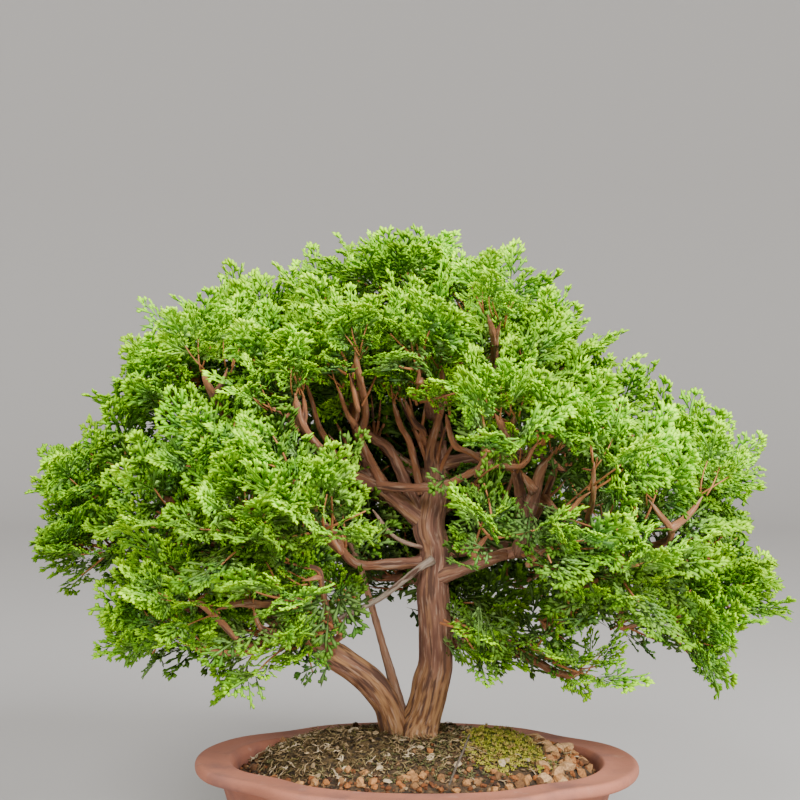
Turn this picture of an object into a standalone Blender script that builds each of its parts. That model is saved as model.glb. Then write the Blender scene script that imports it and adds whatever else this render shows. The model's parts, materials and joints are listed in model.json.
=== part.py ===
"""Hinoki cypress bonsai in a lobed terracotta pot.

Metres, +Z up, front of the tree towards -Y. The origin is under the middle of the crown, on the
surface that the pot stands on. Sizes are written in millimetres and scaled once, where meshes are made.
"""

import math
import random

import bmesh
import bpy
from mathutils import Matrix, Vector, noise
from mathutils.bvhtree import BVHTree

MM = 0.001
GAP = 0.35
UP = Vector((0, 0, 1))

# Pot: a four-lobed oval with a wide flat lip, turned a little about the vertical.
POT_X = 4.0
POT_HALF_WIDTH = 145.0
POT_HALF_DEPTH = 113.0
POT_TURN = math.radians(-5)
POT_HEIGHT = 78.0
POT_SIDES = 32
NOTCH_SHARE = 0.055
NOTCH_SHARPNESS = 6
FLOOR_UNDER = 10.0
FLOOR_TOP = 18.0
WALL_FOOT_INSET = 39.0
WALL_TOP_INSET = 25.5
WALL_TOP_HEIGHT = 66.0

# Its profile as (inset, height): up the outside, over the rounded lip, and down the inside to the floor.
POT_PROFILE = (
    (37, FLOOR_UNDER), (32, 14), (18, 62), (15, 69), (2, 69.8), (0, 72), (0, 76), (2, POT_HEIGHT),
    (13, POT_HEIGHT - 1), (24, POT_HEIGHT - 0.4), (WALL_TOP_INSET, WALL_TOP_HEIGHT),
    (WALL_FOOT_INSET, FLOOR_TOP),
)
FOOT_INSET = 41.0
FOOT_WIDTH = 13.0
FOOT_DRAFT = 2.0
FOOT_SINK = 1.5
FOOT_GAP_X = 92.0
FOOT_GAP_Y = 62.0
DRAIN_X = 52.0
DRAIN_RADIUS = 8.0
DRAIN_SIDES = 12
SCREEN_SIDE = 30.0
SCREEN_CELLS = 5
SCREEN_THICKNESS = 1.0

# Soil: mounded from just under the lip up to the foot of the trunk.
SOIL_EDGE = 73.5
SOIL_RISE = 21.0
SOIL_RIPPLE = 1.3
RIPPLE_LENGTH = 17.0
SOIL_BOTTOM = FLOOR_TOP + SCREEN_THICKNESS + 2 * GAP
SOIL_BOTTOM_INSET = WALL_FOOT_INSET + GAP + 0.6
SOIL_TOP_INSET = WALL_TOP_INSET + GAP - 0.2
SOIL_RINGS = (0.97, 0.78, 0.56, 0.3)

# Grains that show on the mound: they keep this far from each other, from the moss and from the trunk.
GRAINS = 24
GRAIN_SPACING = 11.0
GRAIN_TO_MOSS = 6.5
GRAIN_TO_TRUNK = 28.0

# Moss cushions: (centre), (half width, half depth), thickness and colour.
MOSS_PATCHES = {
    "moss_green": ((60, -8), (26, 33), 5.5, (0.16, 0.26, 0.03)),
    "moss_dry": ((-52, -24), (32, 34), 4.5, (0.2, 0.16, 0.07)),
}
MOSS_UNDER = 8.0
MOSS_EDGE_WAVE = 0.16
MOSS_HUMPS = 0.5

# Foot of the tree: (height, radius) of the root plug and the flare above the soil.
ROOT_X = 6.0
ROOT_DEPTH_SHARE = 0.88
ROOT_PROFILE = ((50, 11), (74, 15), (98, 19), (103, 16), (109, 13.5), (116, 11))
ROOT_HOLE = (
    (ROOT_PROFILE[0][0] - GAP, ROOT_PROFILE[0][1] + GAP), (ROOT_PROFILE[1][0], ROOT_PROFILE[1][1] + GAP),
    (ROOT_PROFILE[2][0], ROOT_PROFILE[2][1] + GAP), (120, 19.5),
)

# Wood: each limb is a route of (x, y, z, radius), rooted on the centre line of what carries it.
MAIN_TRUNK = (
    (6, 0, 96, 13), (8, 0, 106, 12), (13, -1, 126, 10.8), (16, -2, 146, 10), (15, -2, 168, 9.2),
    (13.5, -1, 193, 9.2), (16, 0, 213, 9), (12, 0, 230, 10), (14, 2, 246, 9.2), (18, 3, 262, 7.6),
    (17, 4, 292, 5.6), (11, 4, 322, 4), (6, 4, 342, 2.8),
)
LEFT_TRUNK = (
    (3, -1, 97, 9.5), (-9, -2, 109, 8.8), (-31, -6, 129, 8.5), (-56, -10, 149, 8), (-92, -14, 177, 6.4),
    (-126, -12, 205, 5), (-146, -6, 228, 3.4), (-154, -2, 246, 2.6),
)
RIGHT_LIMB = (
    (14, -1, 196, 4.6), (25, -6, 200, 4.6), (41, -12, 206, 4.3), (61, -20, 214, 4), (78, -24, 217, 3.8),
    (96, -28, 217, 3.5), (122, -30, 222, 3), (146, -26, 234, 2.4),
)
RIGHT_LOW_LIMB = ((96, -28, 217, 3), (116, -40, 202, 2.7), (138, -42, 190, 2.3))
RIGHT_INNER_LIMB = ((70, -22, 215, 3), (78, -28, 236, 2.8), (85, -34, 252, 2.5), (92, -44, 274, 2.2))
BACK_RIGHT_LIMB = (
    (15, 1, 212, 4.2), (44, 12, 214, 3.9), (72, 26, 219, 3.5), (100, 38, 228, 3), (124, 38, 242, 2.5),
)
BACK_RIGHT_LOW_LIMB = ((72, 26, 219, 2.8), (88, 52, 206, 2.5), (102, 72, 196, 2.2))
LOW_RIGHT_TWIG = ((15, -1, 148, 2.6), (30, 8, 151, 2.4), (44, 18, 149, 2.1), (52, 26, 148, 1.9))
LEFT_BRANCH = (
    (15, 0, 207, 3.8), (-10, -6, 206, 3.5), (-32, -12, 206, 3.2), (-42, -17, 214, 3), (-47, -24, 226, 2.8),
    (-54, -44, 235, 2.5), (-60, -76, 238, 2.2),
)
PALE_BRANCH = (
    (14, -2, 205, 2.2), (-5, -20, 193, 1.9), (-21, -32, 181, 1.8), (-42, -44, 172, 1.7), (-54, -54, 168, 1.6),
)
THIN_STEM = (
    (-6, -1, 108, 2.7), (-9, 6, 127, 2.5), (-15, 8, 146, 2.3), (-23, 11, 172, 2.2), (-33, 15, 202, 2),
    (-44, 20, 226, 1.8),
)
UPPER_LEFT_LIMB = (
    (12, 0, 231, 5.6), (-8, -2, 247, 5.2), (-24, -4, 260, 4.7), (-43, -8, 271, 4), (-58, -12, 280, 3.6),
    (-67, -14, 294, 3.2), (-72, -15, 308, 2.7), (-72, -12, 324, 2.2),
)
UPPER_MID_LIMB = ((-24, -4, 260, 3.3), (-33, -10, 286, 2.8), (-36, -15, 304, 2.4), (-36, -24, 318, 2.1))
UPPER_BACK_LIMB = ((17, 3, 256, 4.5), (-10, 8, 275, 3.8), (-30, 14, 292, 3.2), (-44, 18, 312, 2.5))
CROSSING_BRANCH = (
    (-10, -2, 249, 3), (6, -16, 256, 2.8), (40, -30, 264, 2.6), (47, -56, 270, 2.4), (46, -84, 274, 2.2),
)
SHORT_TWIG = ((15, 0, 214, 1.5), (-9, -16, 224, 1.3), (-24, -24, 243, 1.1))
BACK_LEFT_LIMB = (
    (12, 0, 236, 4.6), (-28, 30, 250, 4), (-62, 56, 262, 3.4), (-92, 70, 274, 2.8), (-112, 72, 290, 2.2),
)
BACK_MID_LIMB = ((17, 4, 264, 4.6), (8, 34, 280, 3.8), (0, 60, 292, 3.2), (-4, 76, 308, 2.4))
BACK_UPPER_RIGHT_LIMB = ((17, 2, 240, 4.6), (42, 32, 252, 4), (66, 56, 262, 3.2), (84, 68, 272, 2.4))
BACK_LOW_LIMB = ((14, -1, 186, 4.2), (6, 34, 190, 3.6), (-8, 62, 188, 3), (-28, 74, 186, 2.3))
FRONT_TOP_LIMB = ((15, 4, 300, 4), (12, -30, 312, 3.4), (10, -58, 320, 2.8), (8, -76, 326, 2.2))
TOP_RIGHT_LIMB = ((14, 4, 310, 3.8), (42, -4, 320, 3.2), (66, -8, 322, 2.5))
UPPER_RIGHT_LIMB = ((18, 3, 270, 4.2), (48, -14, 276, 3.6), (82, -36, 280, 3), (104, -42, 284, 2.4))
FRONT_LEFT_LIMB = ((-92, -14, 177, 4), (-98, -42, 196, 3.4), (-102, -66, 216, 2.9), (-102, -82, 232, 2.3))
LOW_LEFT_LIMB = ((-92, -14, 177, 3.4), (-114, -26, 177, 3), (-134, -32, 180, 2.6), (-148, -24, 180, 2.1))
LIMBS = (
    MAIN_TRUNK, LEFT_TRUNK, RIGHT_LIMB, RIGHT_LOW_LIMB, RIGHT_INNER_LIMB, BACK_RIGHT_LIMB,
    BACK_RIGHT_LOW_LIMB, LOW_RIGHT_TWIG, LEFT_BRANCH, PALE_BRANCH, THIN_STEM, UPPER_LEFT_LIMB,
    UPPER_MID_LIMB, UPPER_BACK_LIMB, CROSSING_BRANCH, SHORT_TWIG, BACK_LEFT_LIMB, BACK_MID_LIMB,
    BACK_UPPER_RIGHT_LIMB, BACK_LOW_LIMB, FRONT_TOP_LIMB, TOP_RIGHT_LIMB, UPPER_RIGHT_LIMB,
    FRONT_LEFT_LIMB, LOW_LEFT_LIMB,
)
BARE_LIMBS = (PALE_BRANCH, SHORT_TWIG, THIN_STEM)
THICK_LIMB = 6.0
THIN_LIMB = 3.5

# Foliage: the middle of each leafy spray, in tiers from the top of the crown down, then the back.
OUTLINE_TIER = (
    (-164, -6, 172), (-208, 0, 220), (-196, 4, 270), (-156, -6, 314), (-110, 0, 350), (-58, 2, 372),
    (-6, 5, 386), (46, 6, 380), (98, -4, 346), (142, 0, 308), (180, 5, 268), (206, -8, 216), (178, -24, 172),
)
FRONT_UPPER_TIER = ((-42, -84, 350), (6, -90, 354), (56, -84, 342), (-92, -72, 334), (88, -98, 306))
LEFT_TIER = ((-124, -95, 287), (-158, -72, 246), (-75, -132, 282), (-102, -138, 246), (-55, -150, 249))
LEFT_LOW_TIER = ((-140, -92, 205), (-85, -132, 206), (-113, -50, 166), (-71, -86, 170))
RIGHT_TIER = ((120, -112, 272), (158, -84, 246), (50, -132, 300), (54, -124, 246), (97, -120, 238))
RIGHT_LOW_TIER = ((140, -112, 219), (120, -84, 181), (95, -46, 154), (50, 40, 155))
BACK_ROWS = (
    (354, 76, (-56, 42)),
    (302, 128, (-118, -40, 40, 116)),
    (244, 144, (-146, -54, 42, 138)),
    (188, 110, (-100, -10, 104)),
)
BACK_TIER = tuple((x, y, z) for z, y, row in BACK_ROWS for x in row)
SPRAYS = (
    OUTLINE_TIER + FRONT_UPPER_TIER + LEFT_TIER + LEFT_LOW_TIER + RIGHT_TIER + RIGHT_LOW_TIER + BACK_TIER
)
HEART = Vector((0, 0, 205))
TWIG_RADIUS = 2.6
TWIG_TIP_RADIUS = 1.8
CORE_BACK = 18.0
CORE_HALF_LENGTH = 13.0
CORE_RADIUS = 8.0
FROND_LENGTH = 57.0
FROND_WIDTH = 64.0
FROND_THICKNESS = 0.8
FROND_CLEARANCE = 0.35
FROND_TRIES = 30
FRONDS_IN_FRONT = 3
FRONDS_ELSEWHERE = 4
FRONT_Y = -50.0
SIDE_TILT = (55, 85)
LEAD_TILT = 10
SMALLEST_FACING = 0.2

# Outline of a frond down one side, as (share of length, share of width): tips and the cuts between them.
LOBES = ((0, 0), (0.56, 0.43), (0.65, 0.25), (0.9, 0.28), (0.87, 0.09), (1, 0))
FROND_HUB = 0.5
HUB_SINK = 0.04
FROND_DROOP = 0.35
FROND_CUP = 1.6


def clear_scene():
    for thing in list(bpy.data.objects):
        bpy.data.objects.remove(thing, do_unlink=True)


def make_material(name, colour, roughness):
    material = bpy.data.materials.new(name)
    material.use_nodes = True
    shader = material.node_tree.nodes["Principled BSDF"]
    shader.inputs["Base Color"].default_value = (*colour, 1)
    shader.inputs["Roughness"].default_value = roughness
    shader.inputs["Metallic"].default_value = 0
    return material


def make_object(name, bm, collection, material=None):
    """A mesh object from a bmesh written in millimetres."""
    bmesh.ops.scale(bm, vec=(MM, MM, MM), verts=bm.verts)
    bmesh.ops.recalc_face_normals(bm, faces=bm.faces)
    mesh = bpy.data.meshes.new(name)
    bm.to_mesh(mesh)
    bm.free()
    if material:
        mesh.materials.append(material)
    thing = bpy.data.objects.new(name, mesh)
    collection.objects.link(thing)
    return thing


def applied(thing):
    """The object with its modifiers worked into its mesh."""
    bpy.context.view_layer.update()
    graph = bpy.context.evaluated_depsgraph_get()
    mesh = bpy.data.meshes.new_from_object(thing.evaluated_get(graph))
    thing.modifiers.clear()
    thing.data = mesh
    return thing


def boolean(thing, operation, others, solver="EXACT"):
    """Cuts others from thing, or joins them to it, and removes them."""
    group = bpy.data.collections.new("operands")
    bpy.context.scene.collection.children.link(group)
    for other in others:
        for owner in list(other.users_collection):
            owner.objects.unlink(other)
        group.objects.link(other)
    modifier = thing.modifiers.new(operation.lower(), "BOOLEAN")
    modifier.operation = operation
    modifier.solver = solver
    modifier.operand_type = "COLLECTION"
    modifier.collection = group
    applied(thing)
    for other in list(group.objects):
        bpy.data.objects.remove(other, do_unlink=True)
    bpy.data.collections.remove(group)
    return thing


def keep_main_body(thing):
    """Drops any loose scrap that a union left beside the main body."""
    bm = bmesh.new()
    bm.from_mesh(thing.data)
    left = set(bm.verts)
    bodies = []
    while left:
        body = set()
        queue = [left.pop()]
        while queue:
            vert = queue.pop()
            body.add(vert)
            for edge in vert.link_edges:
                other = edge.other_vert(vert)
                if other in left:
                    left.discard(other)
                    queue.append(other)
        bodies.append(body)
    bodies.sort(key=len)
    for scrap in bodies[:-1]:
        bmesh.ops.delete(bm, geom=list(scrap), context="VERTS")
    bm.to_mesh(thing.data)
    bm.free()


def make_tube(name, route, collection, resolution, flatten=1.0):
    """A tapered limb as a mesh: a curve with a bevel and filled caps, along (x, y, z, radius) points.

    A resolution of 0, 1, 2 or 3 gives it 4, 6, 8 or 10 sides.
    """
    curve = bpy.data.curves.new(name, "CURVE")
    curve.dimensions = "3D"
    curve.bevel_depth = MM
    curve.bevel_resolution = resolution
    curve.use_fill_caps = True
    spline = curve.splines.new("POLY")
    spline.points.add(len(route) - 1)
    for point, (x, y, z, radius) in zip(spline.points, route):
        point.co = (x * MM, y * MM, z * MM, 1)
        point.radius = radius
    guide = bpy.data.objects.new("guide", curve)
    collection.objects.link(guide)
    bpy.context.view_layer.update()
    graph = bpy.context.evaluated_depsgraph_get()
    mesh = bpy.data.meshes.new_from_object(guide.evaluated_get(graph))
    bm = bmesh.new()
    bm.from_mesh(mesh)
    bmesh.ops.remove_doubles(bm, verts=bm.verts, dist=0.00001)
    bmesh.ops.scale(bm, vec=(1, flatten, 1), verts=bm.verts)
    bmesh.ops.recalc_face_normals(bm, faces=bm.faces)
    bm.to_mesh(mesh)
    bm.free()
    tube = bpy.data.objects.new(name, mesh)
    tube.matrix_world = guide.matrix_world
    collection.objects.link(tube)
    bpy.data.objects.remove(guide, do_unlink=True)
    return tube


def pot_point(angle, inset, height):
    """A point of the lobed oval, drawn in by inset: four shallow notches lie between its lobes."""
    notch = ((1 + math.cos(4 * angle - math.pi)) / 2) ** NOTCH_SHARPNESS
    share = 1 - NOTCH_SHARE * notch
    x = (POT_HALF_WIDTH - inset) * share * math.cos(angle)
    y = (POT_HALF_DEPTH - inset) * share * math.sin(angle)
    turned = Matrix.Rotation(POT_TURN, 3, "Z") @ Vector((x, y, height))
    return turned + Vector((POT_X, 0, 0))


def loft(rings, collection, name, material):
    """A closed solid through lobed rings given as (inset, height), closed flat at both ends."""
    bm = bmesh.new()
    loops = []
    for inset, height in rings:
        angles = [2 * math.pi * i / POT_SIDES for i in range(POT_SIDES)]
        loops.append([bm.verts.new(pot_point(angle, inset, height)) for angle in angles])
    for lower, upper in zip(loops, loops[1:]):
        for i in range(POT_SIDES):
            j = (i + 1) % POT_SIDES
            bm.faces.new((lower[i], lower[j], upper[j], upper[i]))
    bm.faces.new(loops[0])
    bm.faces.new(loops[-1])
    return make_object(name, bm, collection, material)


def in_pot_frame(x, y, z):
    turn = Matrix.Rotation(POT_TURN, 4, "Z")
    return Matrix.Translation((POT_X, 0, 0)) @ turn @ Matrix.Translation((x, y, z))


def drain_cutter(x, collection):
    middle = (FLOOR_UNDER + FLOOR_TOP) / 2
    bm = bmesh.new()
    bmesh.ops.create_cone(
        bm, cap_ends=True, segments=DRAIN_SIDES, radius1=DRAIN_RADIUS, radius2=DRAIN_RADIUS, depth=FLOOR_TOP
    )
    bmesh.ops.transform(bm, matrix=in_pot_frame(x, 0, middle), verts=bm.verts)
    return make_object("drain", bm, collection)


def gap_cutter(width, depth, collection):
    """A block that parts the foot ring into four corner feet."""
    bm = bmesh.new()
    bmesh.ops.create_cube(bm, size=1)
    block = Matrix.Diagonal((width, depth, FLOOR_UNDER * 4, 1))
    bmesh.ops.transform(bm, matrix=in_pot_frame(0, 0, 0) @ block, verts=bm.verts)
    return make_object("foot_gap", bm, collection)


def make_pot(collection):
    clay = make_material("terracotta", (0.36, 0.15, 0.105), 0.85)
    pot = loft(POT_PROFILE, collection, "pot", clay)
    foot_top = FLOOR_UNDER + FOOT_SINK
    feet = loft(((FOOT_INSET, 0), (FOOT_INSET - FOOT_DRAFT, foot_top)), collection, "feet", clay)
    inside = FOOT_INSET + FOOT_WIDTH
    hollow = loft(((inside, -FOOT_WIDTH), (inside, foot_top + FOOT_WIDTH)), collection, "foot_hollow", clay)
    across = 3 * POT_HALF_WIDTH
    gaps = [gap_cutter(FOOT_GAP_X, across, collection), gap_cutter(across, FOOT_GAP_Y, collection)]
    boolean(feet, "DIFFERENCE", [hollow, *gaps])
    boolean(pot, "UNION", [feet])
    boolean(pot, "DIFFERENCE", [drain_cutter(side * DRAIN_X, collection) for side in (-1, 1)])
    pot.data.shade_smooth()
    pot.data.set_sharp_from_angle(angle=math.radians(35))


def soil_height(x, y):
    """Height of the mound at a place: highest at the trunk, gently uneven."""
    local = Matrix.Rotation(-POT_TURN, 3, "Z") @ Vector((x - POT_X, y, 0))
    share = math.hypot(local.x / (POT_HALF_WIDTH - 25), local.y / (POT_HALF_DEPTH - 25))
    ripple = noise.noise(Vector((x / RIPPLE_LENGTH, y / RIPPLE_LENGTH, 3.1)))
    return SOIL_EDGE + SOIL_RISE * max(0, 1 - share**2) + SOIL_RIPPLE * ripple * (1 - share**6)


def make_soil(collection):
    mix = make_material("granular_soil", (0.11, 0.07, 0.045), 0.95)
    bm = bmesh.new()
    angles = [2 * math.pi * i / POT_SIDES for i in range(POT_SIDES)]
    wall = (
        (SOIL_BOTTOM_INSET, SOIL_BOTTOM), (WALL_TOP_INSET + GAP, WALL_TOP_HEIGHT),
        (WALL_TOP_INSET + GAP - 0.3, SOIL_EDGE - 1),
    )
    loops = [[bm.verts.new(pot_point(a, inset, height)) for a in angles] for inset, height in wall]
    centre = Vector((POT_X, 0, 0))
    for share in SOIL_RINGS:
        loop = []
        for angle in angles:
            spot = centre.lerp(pot_point(angle, SOIL_TOP_INSET, 0), share)
            loop.append(bm.verts.new((spot.x, spot.y, soil_height(spot.x, spot.y))))
        loops.append(loop)
    for lower, upper in zip(loops, loops[1:]):
        for i in range(POT_SIDES):
            j = (i + 1) % POT_SIDES
            bm.faces.new((lower[i], lower[j], upper[j], upper[i]))
    bm.faces.new(loops[0])
    bm.faces.new(loops[-1])
    bmesh.ops.triangulate(bm, faces=bm.faces)
    soil = make_object("soil", bm, collection, mix)
    hole = [(ROOT_X, 0, height, radius) for height, radius in ROOT_HOLE]
    boolean(soil, "DIFFERENCE", [make_tube("root_hole", hole, collection, 3, ROOT_DEPTH_SHARE)])
    return soil


def inside_moss(x, y, margin):
    for (cx, cy), (half_x, half_y), _, _ in MOSS_PATCHES.values():
        if math.hypot((x - cx) / (half_x + margin), (y - cy) / (half_y + margin)) < 1:
            return True
    return False


def make_moss(collection, soil):
    """Low cushions whose undersides follow the soil, a gap above it."""
    for name, ((cx, cy), (half_x, half_y), thickness, colour) in MOSS_PATCHES.items():
        bm = bmesh.new()
        bmesh.ops.create_uvsphere(bm, u_segments=16, v_segments=8, radius=1)
        for vert in bm.verts:
            flat = Vector((vert.co.x, vert.co.y))
            edge = 1 + MOSS_EDGE_WAVE * noise.noise(Vector((flat.x * 1.7, flat.y * 1.7, cx)))
            x = cx + half_x * flat.x * edge
            y = cy + half_y * flat.y * edge
            hump = 1 + MOSS_HUMPS * noise.noise(Vector((x / 9, y / 9, 0)))
            rise = thickness * hump if vert.co.z > 0 else MOSS_UNDER
            vert.co = (x, y, soil_height(x, y) + vert.co.z * rise)
        cushion = make_object(name, bm, collection, make_material(name, colour, 0.95))
        raised = soil.copy()
        raised.data = soil.data.copy()
        raised.location.z = GAP * MM
        collection.objects.link(raised)
        boolean(cushion, "DIFFERENCE", [raised])
        keep_main_body(cushion)


def scatter_grains(collection, soil):
    """Larger grains sunk half into the mound, clear of the moss, the trunk and the pot."""
    draw = random.Random(7)
    grains = []
    while len(grains) < GRAINS:
        angle = draw.uniform(0, 2 * math.pi)
        share = draw.uniform(0.3, 0.93) ** 0.6
        spot = Vector((POT_X, 0, 0)).lerp(pot_point(angle, SOIL_TOP_INSET, 0), share * 0.94)
        near_grain = any(math.hypot(spot.x - x, spot.y - y) < GRAIN_SPACING for x, y in grains)
        near_trunk = math.hypot(spot.x - ROOT_X, spot.y) < GRAIN_TO_TRUNK
        if near_grain or near_trunk or inside_moss(spot.x, spot.y, GRAIN_TO_MOSS):
            continue
        grains.append((spot.x, spot.y))
    solids = []
    for x, y in grains:
        bm = bmesh.new()
        bmesh.ops.create_icosphere(bm, subdivisions=1, radius=1)
        size = Matrix.Diagonal((draw.uniform(3.6, 6.4), draw.uniform(3.4, 5.2), draw.uniform(2.6, 3.8), 1))
        spin = Matrix.Rotation(draw.uniform(0, math.pi), 4, "Z")
        lean = Matrix.Rotation(draw.uniform(-0.4, 0.4), 4, "X")
        place = Matrix.Translation((x, y, soil_height(x, y) + 0.5))
        bmesh.ops.transform(bm, matrix=place @ spin @ lean @ size, verts=bm.verts)
        solids.append(make_object("grain", bm, collection))
    boolean(soil, "UNION", solids, "MANIFOLD")


def make_screens(collection):
    """Square plastic mesh over each drain hole, under the soil."""
    plastic = make_material("screen_plastic", (0.02, 0.02, 0.022), 0.5)
    step = SCREEN_SIDE / SCREEN_CELLS
    for name, side in (("drain_screen_left", -1), ("drain_screen_right", 1)):
        bm = bmesh.new()
        bmesh.ops.create_grid(bm, x_segments=SCREEN_CELLS, y_segments=SCREEN_CELLS, size=SCREEN_SIDE / 2)
        openings = [
            face for face in bm.faces
            if all(round((axis + SCREEN_SIDE / 2) / step - 0.5) % 2 for axis in face.calc_center_median()[:2])
        ]
        bmesh.ops.delete(bm, geom=openings, context="FACES")
        place = in_pot_frame(side * DRAIN_X, 0, FLOOR_TOP + GAP)
        bmesh.ops.transform(bm, matrix=place, verts=bm.verts)
        screen = make_object(name, bm, collection, plastic)
        wall = screen.modifiers.new("thickness", "SOLIDIFY")
        wall.thickness = SCREEN_THICKNESS * MM
        wall.offset = 1


def outward(spot):
    """The way a spray faces: away from the heart of the crown, lifted towards the light."""
    away = spot - HEART
    away.z *= 0.9
    return (away.normalized() + UP * 0.25).normalized()


def sideways(direction):
    """Two directions square to the given one and to each other."""
    first = direction.cross(Vector((0.13, 0.31, 0.94))).normalized()
    return first, direction.cross(first)


def twig_route(spot, axis):
    """A twig from the nearest limb to the foot of a spray: (x, y, z, radius) points."""
    foot = spot - axis * (CORE_BACK + CORE_HALF_LENGTH + GAP)
    best = None
    for limb in LIMBS:
        if limb in BARE_LIMBS:
            continue
        for x, y, z, radius in limb[1:]:
            knot = Vector((x, y, z))
            away = foot - knot
            cost = away.length + 0.9 * max(0, z - foot.z) + 12 * max(0, -away.normalized().dot(axis))
            if best is None or cost < best[0]:
                best = (cost, knot, radius)
    _, knot, radius = best
    start = min(radius * 0.8, TWIG_RADIUS)
    away = foot - knot
    bend = foot - axis * min(14, away.length * 0.4) + UP * (-0.05 * away.length)
    return [(*knot, start), (*bend, (start + TWIG_TIP_RADIUS) / 2), (*foot, TWIG_TIP_RADIUS)]


def make_wood(collection, twigs):
    bark = make_material("bark", (0.16, 0.085, 0.06), 0.9)
    foot = [(ROOT_X, 0, height, radius) for height, radius in ROOT_PROFILE]
    trunk = make_tube("trunk", foot, collection, 3, ROOT_DEPTH_SHARE)
    trunk.data.materials.append(bark)
    pieces = [make_tube("twig", twig, collection, 0) for twig in twigs]
    for limb in LIMBS:
        radius = limb[0][3]
        pieces.append(make_tube("limb", limb, collection, int(radius > THIN_LIMB) + int(radius > THICK_LIMB)))
    boolean(trunk, "UNION", pieces, "MANIFOLD")
    keep_main_body(trunk)
    return trunk


def frond_bmesh(root, direction, normal, size, cup, thickness):
    """One cut, cupped blade: a hub joined to every tip and cut, the same on both faces."""
    side = direction.cross(normal)
    length = FROND_LENGTH * size
    width = FROND_WIDTH * size
    outline = list(LOBES) + [(u, -w) for u, w in reversed(LOBES[1:-1])]

    def on_blade(u, w, lift):
        height = cup * (FROND_CUP * w * w - FROND_DROOP * u * u) * length
        return root + direction * u * length + side * w * width + normal * (height + lift)

    bm = bmesh.new()
    faces = []
    for lift in (thickness / 2, -thickness / 2):
        rim = [bm.verts.new(on_blade(u, w, lift)) for u, w in outline]
        hub = bm.verts.new(on_blade(FROND_HUB, 0, lift) - normal * HUB_SINK * length)
        faces.append((rim, hub))
    (top, top_hub), (low, low_hub) = faces
    count = len(outline)
    for i in range(count):
        j = (i + 1) % count
        bm.faces.new((top[i], top[j], top_hub))
        bm.faces.new((low[j], low[i], low_hub))
        bm.faces.new((top[j], top[i], low[i], low[j]))
    bmesh.ops.triangulate(bm, faces=[face for face in bm.faces if len(face.verts) == 4])
    return bm


class Crown:
    """Remembers where wood and fronds are, so that no spray crosses another."""

    def __init__(self):
        self.trees = []

    def add(self, owner, tree):
        self.trees.append((owner, tree))

    def crossings(self, owner, tree):
        """How often a new frond would cross other pieces, and how often fronds of its own spray."""
        others = 0
        own = 0
        for name, known in self.trees:
            if name == owner + "_core" or not known.overlap(tree):
                continue
            if name == owner:
                own += 1
            else:
                others += 1
        return others, own


def place_fronds(crown, sprays):
    """Fronds for every spray: the leading frond of each first, then the ones round it.

    A frond that would cross something is drawn again, a little smaller and turned further.
    """
    draw = random.Random(41)
    placed = {name: [] for name, _, _, _ in sprays}
    for turn in range(max(count for _, _, _, count in sprays)):
        for name, spot, axis, count in sprays:
            if turn >= count:
                continue
            lead = (axis + UP * 0.35).normalized()
            first, second = sideways(lead)
            phase = draw.uniform(0, 0.8)
            for attempt in range(FROND_TRIES):
                size = 1 - 0.015 * attempt
                if turn:
                    swing = 0.1 * attempt * (-1) ** attempt
                    azimuth = phase + 2 * math.pi * (turn + swing) / (count - 1)
                    tilt = math.radians(draw.uniform(*SIDE_TILT))
                else:
                    azimuth = draw.uniform(0, 2 * math.pi)
                    tilt = math.radians(draw.uniform(0, LEAD_TILT + attempt))
                around = first * math.cos(azimuth) + second * math.sin(azimuth)
                direction = (lead * math.cos(tilt) + around * math.sin(tilt)).normalized()
                stray = Vector((draw.uniform(-1, 1), draw.uniform(-1, 1), draw.uniform(-1, 1)))
                facing = axis * 0.6 + UP * 0.6 + stray * (0.4 + 0.03 * attempt)
                normal = facing - direction * facing.dot(direction)
                if normal.length < SMALLEST_FACING:
                    continue
                root = spot - axis * (CORE_BACK - CORE_HALF_LENGTH * (0.45 - 0.9 * turn / count))
                shape = (root, direction, normal.normalized(), size, draw.uniform(0.25, 0.6))
                trial = frond_bmesh(*shape, FROND_THICKNESS + 2 * FROND_CLEARANCE)
                tree = BVHTree.FromBMesh(trial)
                trial.free()
                others, own = crown.crossings(name, tree)
                if others or (own and attempt < FROND_TRIES * 0.7):
                    continue
                crown.add(name, tree)
                placed[name].append(shape)
                break
    return placed


def tree_of(thing):
    bm = bmesh.new()
    bm.from_mesh(thing.data)
    bmesh.ops.scale(bm, vec=(1 / MM, 1 / MM, 1 / MM), verts=bm.verts)
    tree = BVHTree.FromBMesh(bm)
    bm.free()
    return tree


def make_core(name, spot, axis, collection, material):
    """The slim leafy core of a spray: it starts a gap away from its twig's end."""
    bm = bmesh.new()
    bmesh.ops.create_uvsphere(bm, u_segments=4, v_segments=2, radius=1)
    size = Matrix.Diagonal((CORE_RADIUS, CORE_RADIUS, CORE_HALF_LENGTH, 1))
    turn = axis.to_track_quat("Z", "Y").to_matrix().to_4x4()
    bmesh.ops.transform(bm, matrix=Matrix.Translation(spot - axis * CORE_BACK) @ turn @ size, verts=bm.verts)
    return make_object(name, bm, collection, material)


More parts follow.
